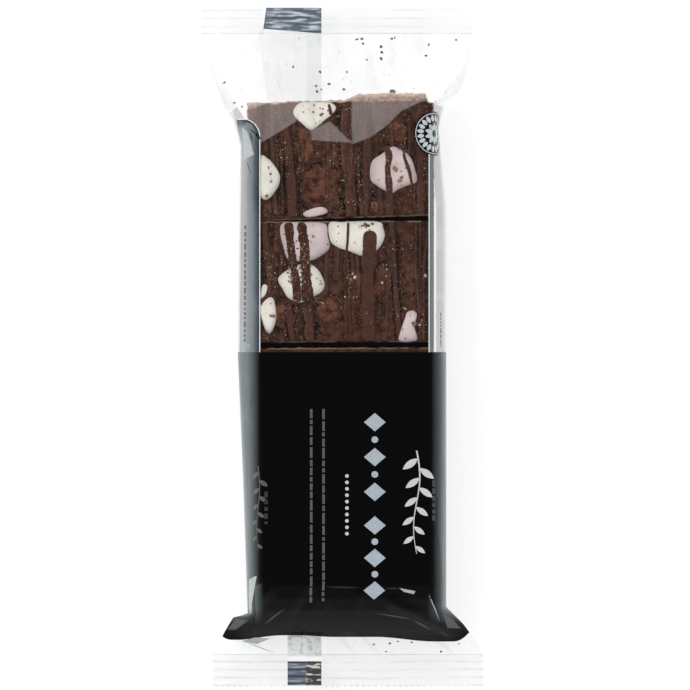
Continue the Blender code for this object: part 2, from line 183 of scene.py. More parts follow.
def keep_numbers(mesh: bpy.types.Mesh, values: dict[str, Array]) -> None:
    """Keeps numbers for each point of a mesh, for its finish or a tree to read.

    Args:
        mesh: The mesh.
        values: The numbers, by name.
    """
    for key, numbers in values.items():
        layer = mesh.attributes.new(key, "FLOAT", "POINT")
        layer.data.foreach_set("value", np.asarray(numbers, np.float32).ravel())


def mesh_object(
    name: str,
    places: Array,
    faces: Iterable[Sequence[int]],
    material: Material,
    values: dict[str, Array] | None = None,
    smooth: bool = True,
) -> Object:
    """Makes an object whose mesh holds its place in metres.

    Args:
        name: The object's name.
        places: Corner points in millimetres, one a row.
        faces: Corner numbers of each face, seen anticlockwise from outside.
        material: Its finish.
        values: Numbers for each corner point, by name, for the finish to read.
        smooth: Whether its faces are shaded smooth.

    Returns:
        The object, linked to the scene.
    """
    mesh = bpy.data.meshes.new(name)
    mesh.from_pydata((np.asarray(places, float) * MM).tolist(), [], [list(f) for f in faces])
    mesh.materials.append(material)
    keep_numbers(mesh, values or {})
    if smooth:
        mesh.shade_smooth()
    return in_scene(name, mesh)


def grid_faces(rows: int, columns: int, closed: bool = False, start: int = 0) -> list[tuple]:
    """Faces that join rows of points.

    Args:
        rows: How many rows there are.
        columns: How many points each row has.
        closed: Whether the last point of a row joins its first.
        start: Number of the first point.

    Returns:
        The faces, as corner numbers.
    """
    faces = []
    for r in range(rows - 1):
        for c in range(columns if closed else columns - 1):
            following = (c + 1) % columns
            a, b = start + r * columns + c, start + r * columns + following
            faces.append((a, b, b + columns, a + columns))
    return faces


def rim_of(rows: int, columns: int) -> Array:
    """Numbers of the points on the border of a grid, in order round it."""
    number = np.arange(rows * columns).reshape(rows, columns)
    return np.concatenate((number[0, :-1], number[:-1, -1], number[-1, :0:-1], number[:0:-1, 0]))


def closed_strip(
    name: str, upper: Array, lower: Array, material: Material, turned: bool = False
) -> Object:
    """Makes a thin closed piece from its two faces.

    Args:
        name: The piece's name.
        upper: Points of the upper face, by row and column.
        lower: Points of the lower face, in the same way.
        material: Its finish.
        turned: Whether its rows run the other way.

    Returns:
        The piece.
    """
    rows, columns = upper.shape[:2]
    size = rows * columns
    faces = grid_faces(rows, columns)
    rim = rim_of(rows, columns).tolist()
    under = [tuple(size + i for i in face[::-1]) for face in faces]
    walls = [(b, a, a + size, b + size) for a, b in zip(rim, rim[1:] + rim[:1])]
    every = faces + under + walls
    if turned:
        every = [face[::-1] for face in every]
    return mesh_object(name, np.concatenate((upper, lower)).reshape(-1, 3), every, material)


@dataclass(frozen=True)
class Line:
    """A value that changes along the pack, straight between its points."""

    points: tuple[Pair, ...]

    @cached_property
    def ordered(self) -> Array:
        """Its points from the lowest place to the highest."""
        return np.array(sorted(self.points), float)

    def at(self, place: Array | float) -> Array:
        """The value at some places."""
        return np.interp(place, self.ordered[:, 0], self.ordered[:, 1])


@dataclass(frozen=True)
class Fold:
    """A crease in the film: a ridge, or a furrow below 0, from one end to the other."""

    start: Pair
    end: Pair
    width: float
    height: float

    def lift(self, x: Array, y: Array) -> Array:
        """How far it raises the film at some places.

        Args:
            x: Places across.
            y: Places along.

        Returns:
            Heights in millimetres, below 0 for a furrow.
        """
        run_x, run_y = self.end[0] - self.start[0], self.end[1] - self.start[1]
        to_x, to_y = x - self.start[0], y - self.start[1]
        share = np.clip((to_x * run_x + to_y * run_y) / (run_x**2 + run_y**2), 0, 1)
        away = np.hypot(to_x - share * run_x, to_y - share * run_y) / self.width
        return self.height * np.clip(1 - away, 0, 1) ** 1.3


@dataclass(frozen=True)
class PackForm:
    """The film's form from end seal to end seal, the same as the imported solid's."""

    height: float = 26.0
    row_end: float = 91.0
    row_start: float = -90.6
    seal_half_width: float = 48.7
    seal_height: float = 9.0
    top_seal: Pair = (112.9, 122.2)
    bottom_seal: Pair = (-111.4, -122.7)
    top_centre: float = -2.0
    bottom_centre: float = 2.0
    back_clearance: float = 0.35
    top_points: int = 132
    side_points: int = 26
    back_points: int = 66
    row_step: float = 0.8
    seed: int = 5

    @cached_property
    def left(self) -> Line:
        """Left outline, seen from above."""
        seal = self.seal_half_width
        return Line((
            (self.top_seal[0], self.top_centre - seal), (97.7, -46.8), (86.9, -43.2),
            (81.5, -39.6), (72.0, -36.9), (-1.0, -37.8), (-48.0, -35.8), (-96.6, -34.2),
            (-97.6, -39.3), (-103.0, -42.5), (self.bottom_seal[0], self.bottom_centre - seal),
        ))

    @cached_property
    def right(self) -> Line:
        """Right outline, seen from above."""
        seal = self.seal_half_width
        return Line((
            (self.top_seal[0], self.top_centre + seal), (97.7, 44.3), (90.5, 41.8),
            (86.9, 36.6), (78.0, 34.6), (50.0, 37.4), (-94.0, 37.4), (-100.0, 43.4),
            (-103.2, 45.8), (self.bottom_seal[0], self.bottom_centre + seal),
        ))

    @cached_property
    def left_shoulder(self) -> Line:
        """Where the flat top turns down into the left side."""
        return Line((
            (self.top_seal[0], -42.0), (88.0, -31.0), (72.0, -28.8), (-88.0, -28.0),
            (-98.0, -30.0), (self.bottom_seal[0], -40.0),
        ))

    @cached_property
    def right_shoulder(self) -> Line:
        """Where the flat top turns down into the right side."""
        return Line((
            (self.top_seal[0], 39.0), (88.0, 31.6), (72.0, 31.2), (-88.0, 31.2),
            (-98.0, 33.0), (self.bottom_seal[0], 44.0),
        ))

    @cached_property
    def ridge(self) -> Line:
        """Height of the top along the pack."""
        return Line((
            (self.top_seal[0], self.seal_height + 0.1), (104.5, 13.8), (97.5, 18.6),
            (self.row_end, 23.6), (81.0, 25.4), (70.0, self.height),
            (self.row_start + 5.0, self.height), (self.row_start, 24.6), (-95.0, 22.4),
            (-99.0, 19.2), (-102.6, 15.4), (-104.8, 12.2), (-107.0, 10.4),
            (self.bottom_seal[0], self.seal_height + 0.1),
        ))

    @cached_property
    def base(self) -> Line:
        """Height of the back along the pack."""
        low = self.back_clearance
        return Line((
            (self.top_seal[0], self.seal_height - 0.1), (104.0, 5.4), (95.0, 1.8),
            (self.row_end, 0.6), (87.0, low), (self.row_start, low), (-96.0, 1.0),
            (-102.0, 3.5), (-107.0, 7.2), (self.bottom_seal[0], self.seal_height - 0.1),
        ))

    @cached_property
    def fullness(self) -> Line:
        """2 is an elliptic side, 1 a straight-faced ridge and below 1 a pinched one."""
        return Line((
            (self.top_seal[0], 1.6), (96.0, 1.1), (87.0, 1.5), (78.0, 2.0), (-92.0, 2.0),
            (-97.0, 1.3), (-103.0, 0.9), (self.bottom_seal[0], 1.6),
        ))

    @cached_property
    def lift_crease(self) -> Line:
        """Beyond this line across the window the film leaves the cake."""
        return Line((
            (-28.8, 72.9), (-21.4, 75.6), (-17.4, 80.0), (-14.8, 88.5), (-13.4, 88.5),
            (-10.0, 77.2), (0.8, 75.2), (4.3, 72.5), (9.5, 75.0), (20.7, 84.5), (31.7, 89.5),
        ))

    @cached_property
    def folds(self) -> tuple[Fold, ...]:
        """The large creases, then many fine ones drawn at random over both ends.

        Returns:
            The creases, the large ones first.
        """
        large = (
            Fold((-27.0, -88.0), (-43.0, -104.0), 4.0, 1.1),
            Fold((-12.0, -90.0), (-20.0, -103.0), 3.5, -0.6),
            Fold((6.0, -89.5), (2.0, -101.5), 4.0, 0.7),
            Fold((18.0, -92.5), (43.0, -105.0), 3.5, 0.9),
            Fold((33.0, -88.0), (39.5, -99.0), 3.0, 1.0),
            Fold((-30.0, 84.0), (-44.0, 104.0), 4.5, 0.9),
            Fold((-2.0, 88.0), (-6.0, 108.0), 4.5, 0.7),
            Fold((30.0, 88.0), (14.0, 106.0), 4.0, 0.8),
        )
        draw = np.random.default_rng(self.seed)
        fine = []
        for count, way, across, along, lean, length, width, height in (
            (34, 1, (-36, 34), (90, 104), 0.6, (4, 15), (0.7, 1.8), (-0.35, 0.4)),
            (16, -1, (-34, 40), (-104, -92), 0.7, (4, 12), (0.9, 2.2), (-0.3, 0.35)),
        ):
            for _ in range(count):
                x, y = draw.uniform(*across), draw.uniform(*along)
                turn, run = draw.normal(0, lean), draw.uniform(*length)
                end = (x + run * math.sin(turn), y + way * run * math.cos(turn))
                fine.append(Fold((x, y), end, draw.uniform(*width), draw.uniform(*height)))
        return large + tuple(fine)

    @cached_property
    def grain(self) -> Grain:
        """The slack film's own gentle waves."""
        return Grain(self.seed)

    def slope(self, x: Array) -> Array:
        """How steeply the film falls past the lift crease."""
        return 0.125 + 0.02 * self.grain.at(x, x * 0, 14.0)

    def top(self, x: Array, y: Array) -> Array:
        """Height of the film's upper face at some places.

        Args:
            x: Places across.
            y: Places along.

        Returns:
            Heights in millimetres.
        """
        x, y = np.asarray(x, float), np.asarray(y, float)
        shaped = self.ridge.at(y)
        crease = self.lift_crease.at(x)
        drop = self.slope(x) * np.clip(y - crease, 0, np.maximum(self.row_end - crease, 0))
        seal_top = self.seal_height + 0.1
        end = (shaped - seal_top) / (self.ridge.at(self.row_end) - seal_top)
        drop = np.where(y > self.row_end, drop * end, drop)
        free = np.clip((shaped - seal_top) / 4.0, 0, 1)
        waves = 0.10 * self.grain.at(x, y, 13.0, 21.0) + 0.05 * self.grain.at(x, y, 5.0)
        lifts = sum(fold.lift(x, y) for fold in self.folds)
        return shaped - drop + free * (lifts + waves)

    def fall(self, x: Array, y: Array) -> Array:
        """How far the film's round sides fall away from its flat faces over some places.

        Args:
            x: Places across.
            y: Places along.

        Returns:
            Distances in millimetres, 0 over the flat faces.
        """
        inner_l, inner_r = self.left_shoulder.at(y), self.right_shoulder.at(y)
        left = (inner_l - x) / (inner_l - self.left.at(y))
        right = (x - inner_r) / (self.right.at(y) - inner_r)
        share = np.clip(np.maximum(left, right), 0, 1)
        full = self.fullness.at(y)
        half = (self.ridge.at(y) - self.base.at(y)) / 2
        return (1 - (1 - share**full) ** (1 / full)) * half

    def over(self, x: Array, y: Array) -> Array:
        """Height of the film over any place, also out over its round sides.

        Args:
            x: Places across.
            y: Places along.

        Returns:
            Heights in millimetres.
        """
        x, y = np.asarray(x, float), np.asarray(y, float)
        flat = np.clip(x, self.left_shoulder.at(y), self.right_shoulder.at(y))
        return self.top(flat, y) - self.fall(x, y)

    def under(self, x: Array, y: Array) -> Array:
        """Height of the film's lower face under any place."""
        return self.base.at(y) + self.fall(np.asarray(x, float), np.asarray(y, float))

    def hold(self, x: Array, y: Array, z: Array, gap: float) -> Array:
        """Places across, moved inwards where needed to lie this far inside the film.

        Args:
            x: Places across.
            y: Places along.
            z: Their heights.
            gap: How far inside the film they have to be.

        Returns:
            The new places across.
        """
        low, high = self.base.at(y), self.ridge.at(y)
        rise = np.clip(np.abs(z - (high + low) / 2) / ((high - low) / 2), 0, 1)
        full = self.fullness.at(y)
        reach = (1 - rise**full) ** (1 / full)
        inner_l, inner_r = self.left_shoulder.at(y), self.right_shoulder.at(y)
        least = inner_l - (inner_l - self.left.at(y)) * reach + gap
        most = inner_r + (self.right.at(y) - inner_r) * reach - gap
        return np.clip(x, least, most)

    def ring(self, y: float) -> tuple[Array, Array, Array]:
        """One turn round the pack: over the top, down the right, under, and up the left.

        Args:
            y: Place along the pack.

        Returns:
            Places across, heights, and the distance along the film from the top's middle. The
            last point meets the first, and the left side's distances are below 0.
        """
        left, right = float(self.left_shoulder.at(y)), float(self.right_shoulder.at(y))
        xs = np.linspace(left, right, self.top_points + 1)
        zs = self.top(xs, np.full_like(xs, y))
        side_r = self.side(y, right, float(self.right.at(y)), float(zs[-1]))
        side_l = self.side(y, left, float(self.left.at(y)), float(zs[0]))
        under = np.linspace(right, left, self.back_points + 1)
        low = np.full_like(under, self.base.at(y))
        x = np.concatenate((xs, side_r[0][1:], under[1:], side_l[0][::-1][1:]))
        z = np.concatenate((zs, side_r[1][1:], low[1:], side_l[1][::-1][1:]))
        steps = np.hypot(np.diff(x), np.diff(z))
        along = np.concatenate(([0.0], np.cumsum(steps))) + left
        turn = len(x) - self.side_points - 1
        along[turn + 1:] -= along[-1] - left
        return x, z, along

    def side(self, y: float, inner: float, outer: float, high: float) -> tuple[Array, ...]:
        """Places and heights round one side, from the upper shoulder to the lower one.

        Args:
            y: Place along.
            inner: Where the shoulder is, across.
            outer: Where the outline is.
            high: Height of the upper shoulder.

        Returns:
            Places across, and heights.
        """
        low = float(self.base.at(y))
        ridge = float(self.ridge.at(y))
        middle, half = (ridge + low) / 2, (ridge - low) / 2
        power = 2 / float(self.fullness.at(y))
        angles = np.radians(np.linspace(90, -90, self.side_points + 1))
        reach = np.clip(np.cos(angles), 0, 1) ** power
        rise = np.sign(np.sin(angles)) * np.abs(np.sin(angles)) ** power
        z = middle + half * rise + np.clip(rise, 0, 1) * (high - ridge)
        return inner + (outer - inner) * reach, z

    def place(self, ring: tuple[Array, ...], along: float, proud: float) -> Array:
        """A point on the film's outside, found from the distance along one turn.

        Args:
            ring: The turn, as its method gives it.
            along: Distance from the top's middle, below 0 to the left.
            proud: How far outside the film the point stands.

        Returns:
            Its place across and its height.
        """
        x, z, distance = ring
        turn = len(x) - self.side_points
        x, z = np.roll(x, -turn), np.roll(z, -turn)
        distance = np.roll(distance, -turn)
        reach = 0.3
        run_x = np.interp(along + reach, distance, x) - np.interp(along - reach, distance, x)
        run_z = np.interp(along + reach, distance, z) - np.interp(along - reach, distance, z)
        size = math.hypot(run_x, run_z)
        return np.array((
            np.interp(along, distance, x) - proud * run_z / size,
            np.interp(along, distance, z) + proud * run_x / size,
        ))


@dataclass(frozen=True)
class Marshmallow:
    """A cut marshmallow set in the chocolate: its outline and how far it stands up."""

    name: str
    outline: tuple[Pair, ...]
    slot: Slot
    rise: float = 1.2

    @cached_property
    def curve(self) -> Array:
        """The rounded outline."""
        return rounded(self.outline)

    @cached_property
    def middle(self) -> Array:
        """The middle of the outline."""
        return self.curve.mean(0)

    @cached_property
    def polar(self) -> tuple[Array, Array]:
        """The outline as angles and distances from the middle, over more than one turn.

        Returns:
            Angles in rising order, and distances in millimetres.
        """
        away = self.curve - self.middle
        angle = np.arctan2(away[:, 1], away[:, 0])
        order = np.argsort(angle)
        angle, reach = angle[order], np.hypot(away[:, 0], away[:, 1])[order]
        turn = 2 * math.pi
        return (
            np.concatenate((angle - turn, angle, angle + turn)),
            np.concatenate((reach, reach, reach)),
        )

    def share(self, x: Array, y: Array) -> Array:
        """How far out some places are: 0 at the middle, 1 on the outline."""
        dx, dy = x - self.middle[0], y - self.middle[1]
        return np.hypot(dx, dy) / np.interp(np.arctan2(dy, dx), *self.polar)

    def crown(self, share: Array) -> Array:
        """Height over the chocolate for such shares: a low dome with a round rim."""
        inside = np.clip(1 - np.clip(share, 0, 1) ** 3.4, 0, 1) ** 0.5
        return self.rise * (0.35 * inside + 0.65 * inside**0.5) - 64 * np.clip(share - 0.985, 0, 1)


@dataclass(frozen=True)
class Strand:
    """A strand of drizzle along the bars: its line, its half width and its height."""

    path: tuple[Pair, ...]
    half_width: float
    height: float
    crumbly: float = 0.0

    def offset(self, x: Array, y: Array, grain: Grain) -> Array:
        """How far some places are from its middle, in half widths, or 9 past its ends.

        Args:
            x: Places across.
            y: Places along.
            grain: Relief that lets the strand wander.

        Returns:
            The distances, one for each place.
        """
        points = np.array(sorted((p[1], p[0]) for p in self.path))
        middle = np.interp(y, points[:, 0], points[:, 1])
        middle = middle + 0.22 * grain.at(middle * 0 + points[0, 1] * 7, y, 5.0)
        width = self.half_width * (1 + 0.18 * grain.at(middle * 0 + points[0, 1] * 3, y, 3.0))
        away = np.abs(x - middle) / width
        return np.where((y < points[0, 0] - 0.3) | (y > points[-1, 0] + 0.3), 9.0, away)


@dataclass(frozen=True)
class Biscuit:
    """A piece of biscuit under the chocolate: a low round swelling, redder than the rest."""

    middle: Pair
    reach: Pair
    rise: float
    tint: float


@dataclass(frozen=True)
class BarPlace:
    """Where one bar lies: its two sides and its two cut ends, with their slants."""

    name: str
    left: float
    right: float
    start: float
    end: float
    start_slant: float = 0.0
    end_slant: float = 0.0
    broken: bool = False
    step: float = 0.24


@dataclass
class Contents:
    """What the film holds, as one height for each place: chocolate with what is set in it."""

    form: PackForm
    level: float = 24.45
    film_gap: float = 0.28
    seed: int = 21
    bars: tuple[BarPlace, ...] = (
        BarPlace("bar_1", -34.0, 32.5, 45.9, 90.2, 0.033, 0.0, True),
        BarPlace("bar_2", -34.2, 32.3, 1.45, 44.7, 0.004, 0.005),
        BarPlace("bar_3", -34.0, 32.3, -44.9, -0.75, 0.0, 0.004, step=0.4),
        BarPlace("bar_4", -33.8, 32.5, -90.2, -46.4, step=1.1),
    )
    marshmallows: tuple[Marshmallow, ...] = (
        Marshmallow("marshmallow_1", (
            (-16.0, 86.9), (-14.0, 87.6), (-9.6, 87.6), (-5.1, 87.3), (-3.1, 86.8), (-2.2, 85.5),
            (-2.8, 84.1), (-4.4, 82.5), (-6.4, 80.9), (-8.5, 79.0), (-10.8, 77.4), (-12.3, 77.6),
            (-14.0, 79.2), (-16.1, 81.1), (-17.6, 83.0), (-17.6, 84.9),
        ), Slot.WHITE),
        Marshmallow("marshmallow_2", (
            (-29.3, 68.6), (-26.4, 67.1), (-23.9, 64.2), (-22.4, 61.2), (-22.6, 58.2),
            (-24.1, 55.3), (-26.1, 53.0), (-28.1, 52.4), (-30.4, 54.2), (-31.5, 60.0),
            (-31.0, 65.5),
        ), Slot.WHITE),
        Marshmallow("marshmallow_3", (
            (10.3, 65.9), (14.2, 69.1), (17.8, 71.6), (20.7, 70.6), (24.3, 68.0), (26.1, 63.4),
            (26.8, 59.0), (23.6, 57.6), (20.3, 56.2), (17.8, 54.7), (14.9, 55.8), (12.1, 57.6),
            (9.9, 59.8),
        ), Slot.PINK),
        Marshmallow("marshmallow_4", (
            (-14.2, 47.6), (-11.0, 49.3), (-7.4, 50.0), (-5.2, 48.6), (-6.7, 47.2), (-12.4, 46.2),
        ), Slot.PINK),
        Marshmallow("marshmallow_5", (
            (-21.4, 44.2), (-15.3, 44.4), (-6.3, 44.0), (-5.2, 39.6), (-4.5, 35.3), (-7.4, 32.4),
            (-11.0, 30.6), (-15.3, 30.2), (-19.6, 31.0), (-21.4, 36.0), (-22.5, 41.0),
        ), Slot.PINK),
        Marshmallow("marshmallow_6", (
            (-4.9, 44.1), (-0.2, 44.5), (12.8, 44.6), (14.6, 42.5), (15.3, 39.6), (13.9, 36.0),
            (11.3, 33.5), (7.4, 32.2), (2.7, 33.8), (-1.6, 35.3), (-4.5, 37.8),
        ), Slot.WHITE),
        Marshmallow("marshmallow_7", (
            (-23.2, 24.1), (-19.6, 27.4), (-13.1, 30.1), (-11.0, 29.5), (-8.1, 26.6),
            (-6.3, 22.3), (-7.4, 19.4), (-11.0, 17.3), (-15.3, 15.5), (-19.6, 17.3), (-21.4, 20.2),
        ), Slot.WHITE, 1.1),
        Marshmallow("marshmallow_8", (
            (-30.1, 15.5), (-25.4, 17.6), (-23.9, 13.7), (-23.9, 8.6), (-25.7, 4.7), (-27.5, 5.4),
            (-29.3, 10.1), (-31.1, 13.0),
        ), Slot.WHITE),
        Marshmallow("marshmallow_9", (
            (-30.2, 17.2), (-28.6, 21.9), (-26.9, 21.6), (-27.4, 18.7), (-29.0, 16.9),
        ), Slot.WHITE, 0.9),
        Marshmallow("marshmallow_10", (
            (23.2, 12.2), (25.4, 12.8), (26.8, 11.2), (25.9, 7.2), (26.6, 4.3), (26.4, 1.9),
            (20.2, 1.9), (21.4, 7.2), (22.5, 10.4),
        ), Slot.PINK),
    )
    over_strands: tuple[Strand, ...] = (
        Strand(((16.0, 72.0), (16.6, 67.7), (16.4, 62.6), (16.9, 55.1), (17.1, 46.9)),
               1.2, 0.8, 0.5),
        Strand(((21.4, 72.3), (22.5, 67.0), (23.9, 62.6), (25.0, 57.2)), 0.55, 0.5),
        Strand(((-19.3, 44.4), (-18.9, 38.2), (-18.0, 31.0), (-16.7, 23.8), (-16.3, 15.8)),
               1.45, 0.8, 1.0),
        Strand(((-14.7, 44.4), (-13.9, 38.2), (-13.7, 31.0), (-12.9, 23.8), (-12.5, 15.8)),
               1.9, 0.85, 1.0),
        Strand(((1.9, 44.4), (1.8, 39.6), (1.6, 33.1), (2.3, 23.8), (3.1, 2.2)), 0.42, 0.45),
        Strand(((10.0, 41.6), (9.6, 34.6), (9.3, 27.4), (9.2, 16.6), (9.2, 1.9)), 2.3, 0.75),
        Strand(((-5.0, 87.0), (-4.4, 85.0), (-4.0, 82.9)), 0.65, 0.35, 0.3),
        Strand(((-23.6, 20.4), (-26.0, 18.2), (-29.6, 15.4)), 0.9, 0.5, 0.3),
    )
    strands: tuple[Strand, ...] = (
        Strand(((-21.1, 80.0), (-19.3, 67.0), (-18.5, 56.2), (-17.8, 46.8)), 1.7, 0.5),
        Strand(((1.6, 87.0), (1.6, 70.0), (2.4, 58.0), (3.6, 47.0)), 2.0, 0.45),
        Strand(((4.6, 87.0), (4.4, 74.2), (5.4, 61.6), (6.7, 47.5)), 0.8, 0.55),
        Strand(((8.5, 83.4), (9.2, 70.6), (8.5, 56.2), (7.7, 47.5)), 1.5, 0.35),
        Strand(((24.7, 80.5), (24.3, 72.4), (23.6, 67.0)), 0.8, 0.4),
        Strand(((27.2, 86.0), (27.9, 67.0), (28.3, 47.5)), 1.3, 0.3),
        Strand(((-25.4, 87.0), (-25.4, 74.2), (-24.6, 60.0), (-23.9, 47.5)), 0.8, 0.4),
        Strand(((-22.5, 87.0), (-21.9, 74.2), (-21.4, 47.5)), 0.6, 0.35),
        Strand(((17.8, 44.4), (18.2, 34.6), (18.9, 23.8), (19.6, 13.0), (20.7, 1.8)), 1.0, 0.6),
        Strand(((30.8, 43.6), (29.3, 31.0), (29.0, 16.6), (29.3, 2.2)), 0.6, 0.45),
        Strand(((28.0, 43.6), (27.6, 24.0), (28.2, 14.0)), 0.5, 0.4),
        Strand(((-28.0, 44.4), (-26.8, 31.0), (-25.4, 24.0)), 1.2, 0.3),
        Strand(((-19.0, 14.6), (-18.6, 8.0), (-18.0, 2.2)), 1.0, 0.35),
        Strand(((-12.4, 14.6), (-12.0, 8.0), (-11.6, 2.2)), 1.6, 0.4),
        Strand(((0.4, 34.0), (0.8, 20.0), (1.2, 2.2)), 0.5, 0.35),
    )
    biscuits: tuple[Biscuit, ...] = (
        Biscuit((-8.1, 56.0), (7.4, 9.2), 0.75, 0.7),
        Biscuit((0.0, 66.0), (11.0, 9.0), 0.1, 0.9),
        Biscuit((4.0, 54.0), (7.0, 7.0), 0.1, 0.7),
        Biscuit((-3.6, 57.4), (2.8, 3.6), 0.2, 1.0),
        Biscuit((-9.5, 61.5), (4.0, 2.2), 0.15, 0.8),
        Biscuit((-13.6, 72.0), (3.6, 8.0), 0.35, 1.0),
        Biscuit((-5.0, 13.0), (5.0, 6.0), 0.35, 0.8),
        Biscuit((-22.0, 11.4), (3.0, 5.6), 0.5, 1.0),
        Biscuit((4.6, 24.2), (3.2, 3.8), 0.45, 1.0),
        Biscuit((14.6, 22.6), (3.6, 7.4), 0.6, 0.8),
        Biscuit((18.9, 76.0), (5.0, 5.4), 0.35, 0.8),
        Biscuit((-25.0, 48.8), (5.0, 2.6), 0.3, 0.9),
        Biscuit((24.0, 25.0), (4.2, 7.0), 0.35, 0.5),
        Biscuit((-26.0, 33.0), (4.0, 8.0), 0.35, 0.45),
        Biscuit((14.0, 50.0), (6.0, 3.0), 0.3, 0.8),
    )
    grains: tuple[Grain, ...] = field(init=False)
    fine_strands: tuple[Strand, ...] = field(init=False)

    def __post_init__(self) -> None:
        """Draws the relief and the many thin strands."""
        self.grains = tuple(Grain(self.seed + i) for i in range(4))
        draw = np.random.default_rng(self.seed)
        thin = []
        for bar in self.bars[:2]:
            for _ in range(34):
                x = draw.uniform(bar.left + 3, bar.right - 2)
                low = draw.uniform(bar.start + 1, bar.end - 12)
                high = min(bar.end - 1.0, low + draw.uniform(8, 34))
                lean = draw.normal(0, 0.7)
                wide = draw.uniform(0.22, 0.75)
                tall = draw.uniform(0.12, 0.3)
                thin.append(Strand(((x, high), (x + lean, low)), wide, tall))
        self.fine_strands = tuple(thin)

    def cover(self, x: Array, y: Array) -> dict[str, Array]:
        """The chocolate cover over some places.

        Args:
            x: Places across.
            y: Places along.

        Returns:
            Its height over the level, and the masks that its finish reads.
        """
        broad, fine, rough, tiny = self.grains
        height = (
            0.26 * broad.at(x, y, 13.0) + 0.16 * fine.at(x, y, 4.5)
            + 0.10 * rough.at(x, y, 1.5, 2.1) + 0.05 * tiny.at(x, y, 0.7)
        )
        streaks = fine.at(x + 60, y, 2.2, 26.0) + 0.8 * broad.at(x, y + 40, 7.0, 11.0)
        crumbly = np.clip(streaks * 1.1 + 0.05, 0, 1)
        biscuit = 0.30 * np.clip(0.2 + fine.at(x + 40, y, 6.0, 9.0), 0, 1)
        painted_biscuit_rim_shade, painted_glint = np.zeros_like(height), np.zeros_like(height)
        for piece in self.biscuits:
            dx, dy = (x - piece.middle[0]) / piece.reach[0], (y - piece.middle[1]) / piece.reach[1]
            away = np.hypot(dx, dy) * (1 + 0.16 * fine.at(x, y, 2.6))
            swell = np.clip(bump(away, 1.0) * 1.6, 0, 1)
            rim = bump(away - 1.0, 0.14)
            # painted shade: a dark line round the rim of the larger biscuit swellings, left out on
            # their right side
            if piece.rise >= 0.5:
                painted_biscuit_rim_shade = np.maximum(painted_biscuit_rim_shade, 0.8 * bump(away - 1.02, 0.09) * (dx < 0.35))
            height = height + piece.rise * swell - 0.4 * rim * piece.rise
            biscuit = np.maximum(biscuit, piece.tint * swell)
            crumbly = np.maximum(crumbly * (1 - 0.7 * swell), 0.8 * rim)
        strand, groove = np.zeros_like(height), np.zeros_like(height)
        for number, line in enumerate(self.strands + self.fine_strands):
            away = line.offset(x, y, fine)
            # painted highlight: a thin pale line along one edge of each strand, the side taken in
            # turns
            side = np.roll(away, 1, -1) > away if number % 2 else np.roll(away, 1, -1) < away
            thin = bump(away - 0.86, 0.26 if line.half_width < 0.8 else 0.12) * side
            painted_glint = np.maximum(painted_glint, thin * np.clip(0.35 + rough.at(x, y, 2.0, 7.0), 0, 1))
            body = np.clip(1 - away**2, 0, 1) ** 0.5
            height = height * (1 - 0.6 * np.clip(body * 1.5, 0, 1)) + line.height * body
            strand = np.maximum(strand, np.clip(body * 1.6, 0, 1) * min(1.0, line.half_width))
            crumbly = crumbly * (1 - 0.8 * np.clip(body * 2, 0, 1) * (line.half_width > 0.6))
            # painted shade: a dark furrow beside each strand, which is also sunk a little
            near = away < 9
            beside = bump(away - 1.3, 0.55) * near * min(1.0, 0.25 + line.half_width)
            groove = np.maximum(groove, beside * (0.55 + 0.45 * rough.at(x, y, 1.2, 2.6)))
            crumbly = np.maximum(crumbly, 0.9 * bump(away - 1.7, 0.9) * near * line.half_width)
            height = height - 0.34 * beside * min(1.0, line.height * 2)
        # pits are sunk into the cover and drawn nearly black, which is painted shade in them
        pits = np.clip(tiny.at(x + 9, y, 0.8) * 0.9 + rough.at(x, y + 5, 2.4) * 0.5 - 0.45, 0, 1)
        pits = np.clip(pits * 3.0, 0, 1) * (0.25 + crumbly)
        groove = np.clip(np.maximum(groove * 0.9, pits * (1 - 0.8 * strand)), 0, 1)
        groove = np.maximum(groove, painted_biscuit_rim_shade)
        clods = np.clip(tiny.at(x, y + 30, 0.62), 0, 1) * crumbly
        height = height - 0.3 * pits * (1 - strand) + 0.34 * clods
        return {
            "height": height, "biscuit": biscuit, "strand": strand, "groove": groove,
            "crumbly": np.clip(crumbly, 0, 1), "painted_glint": painted_glint,
        }

    def capped(self, x: Array, y: Array, z: Array, gap: float) -> Array:
        """Heights pressed down to stay this far under the film."""
        return np.minimum(z, self.form.over(x, y) - gap)

    def surface(self, x: Array, y: Array) -> Array:
        """Height of what lies highest at some places: chocolate or marshmallow.

        Args:
            x: Places across.
            y: Places along.

        Returns:
            Heights in millimetres.
        """
        top = self.level + self.cover(x, y)["height"]
        for piece in self.marshmallows:
            share = piece.share(x, y)
            crown = self.level + piece.crown(share)
            top = np.where(share < 1.0, np.maximum(top, crown), top)
        return self.capped(x, y, top, self.film_gap)


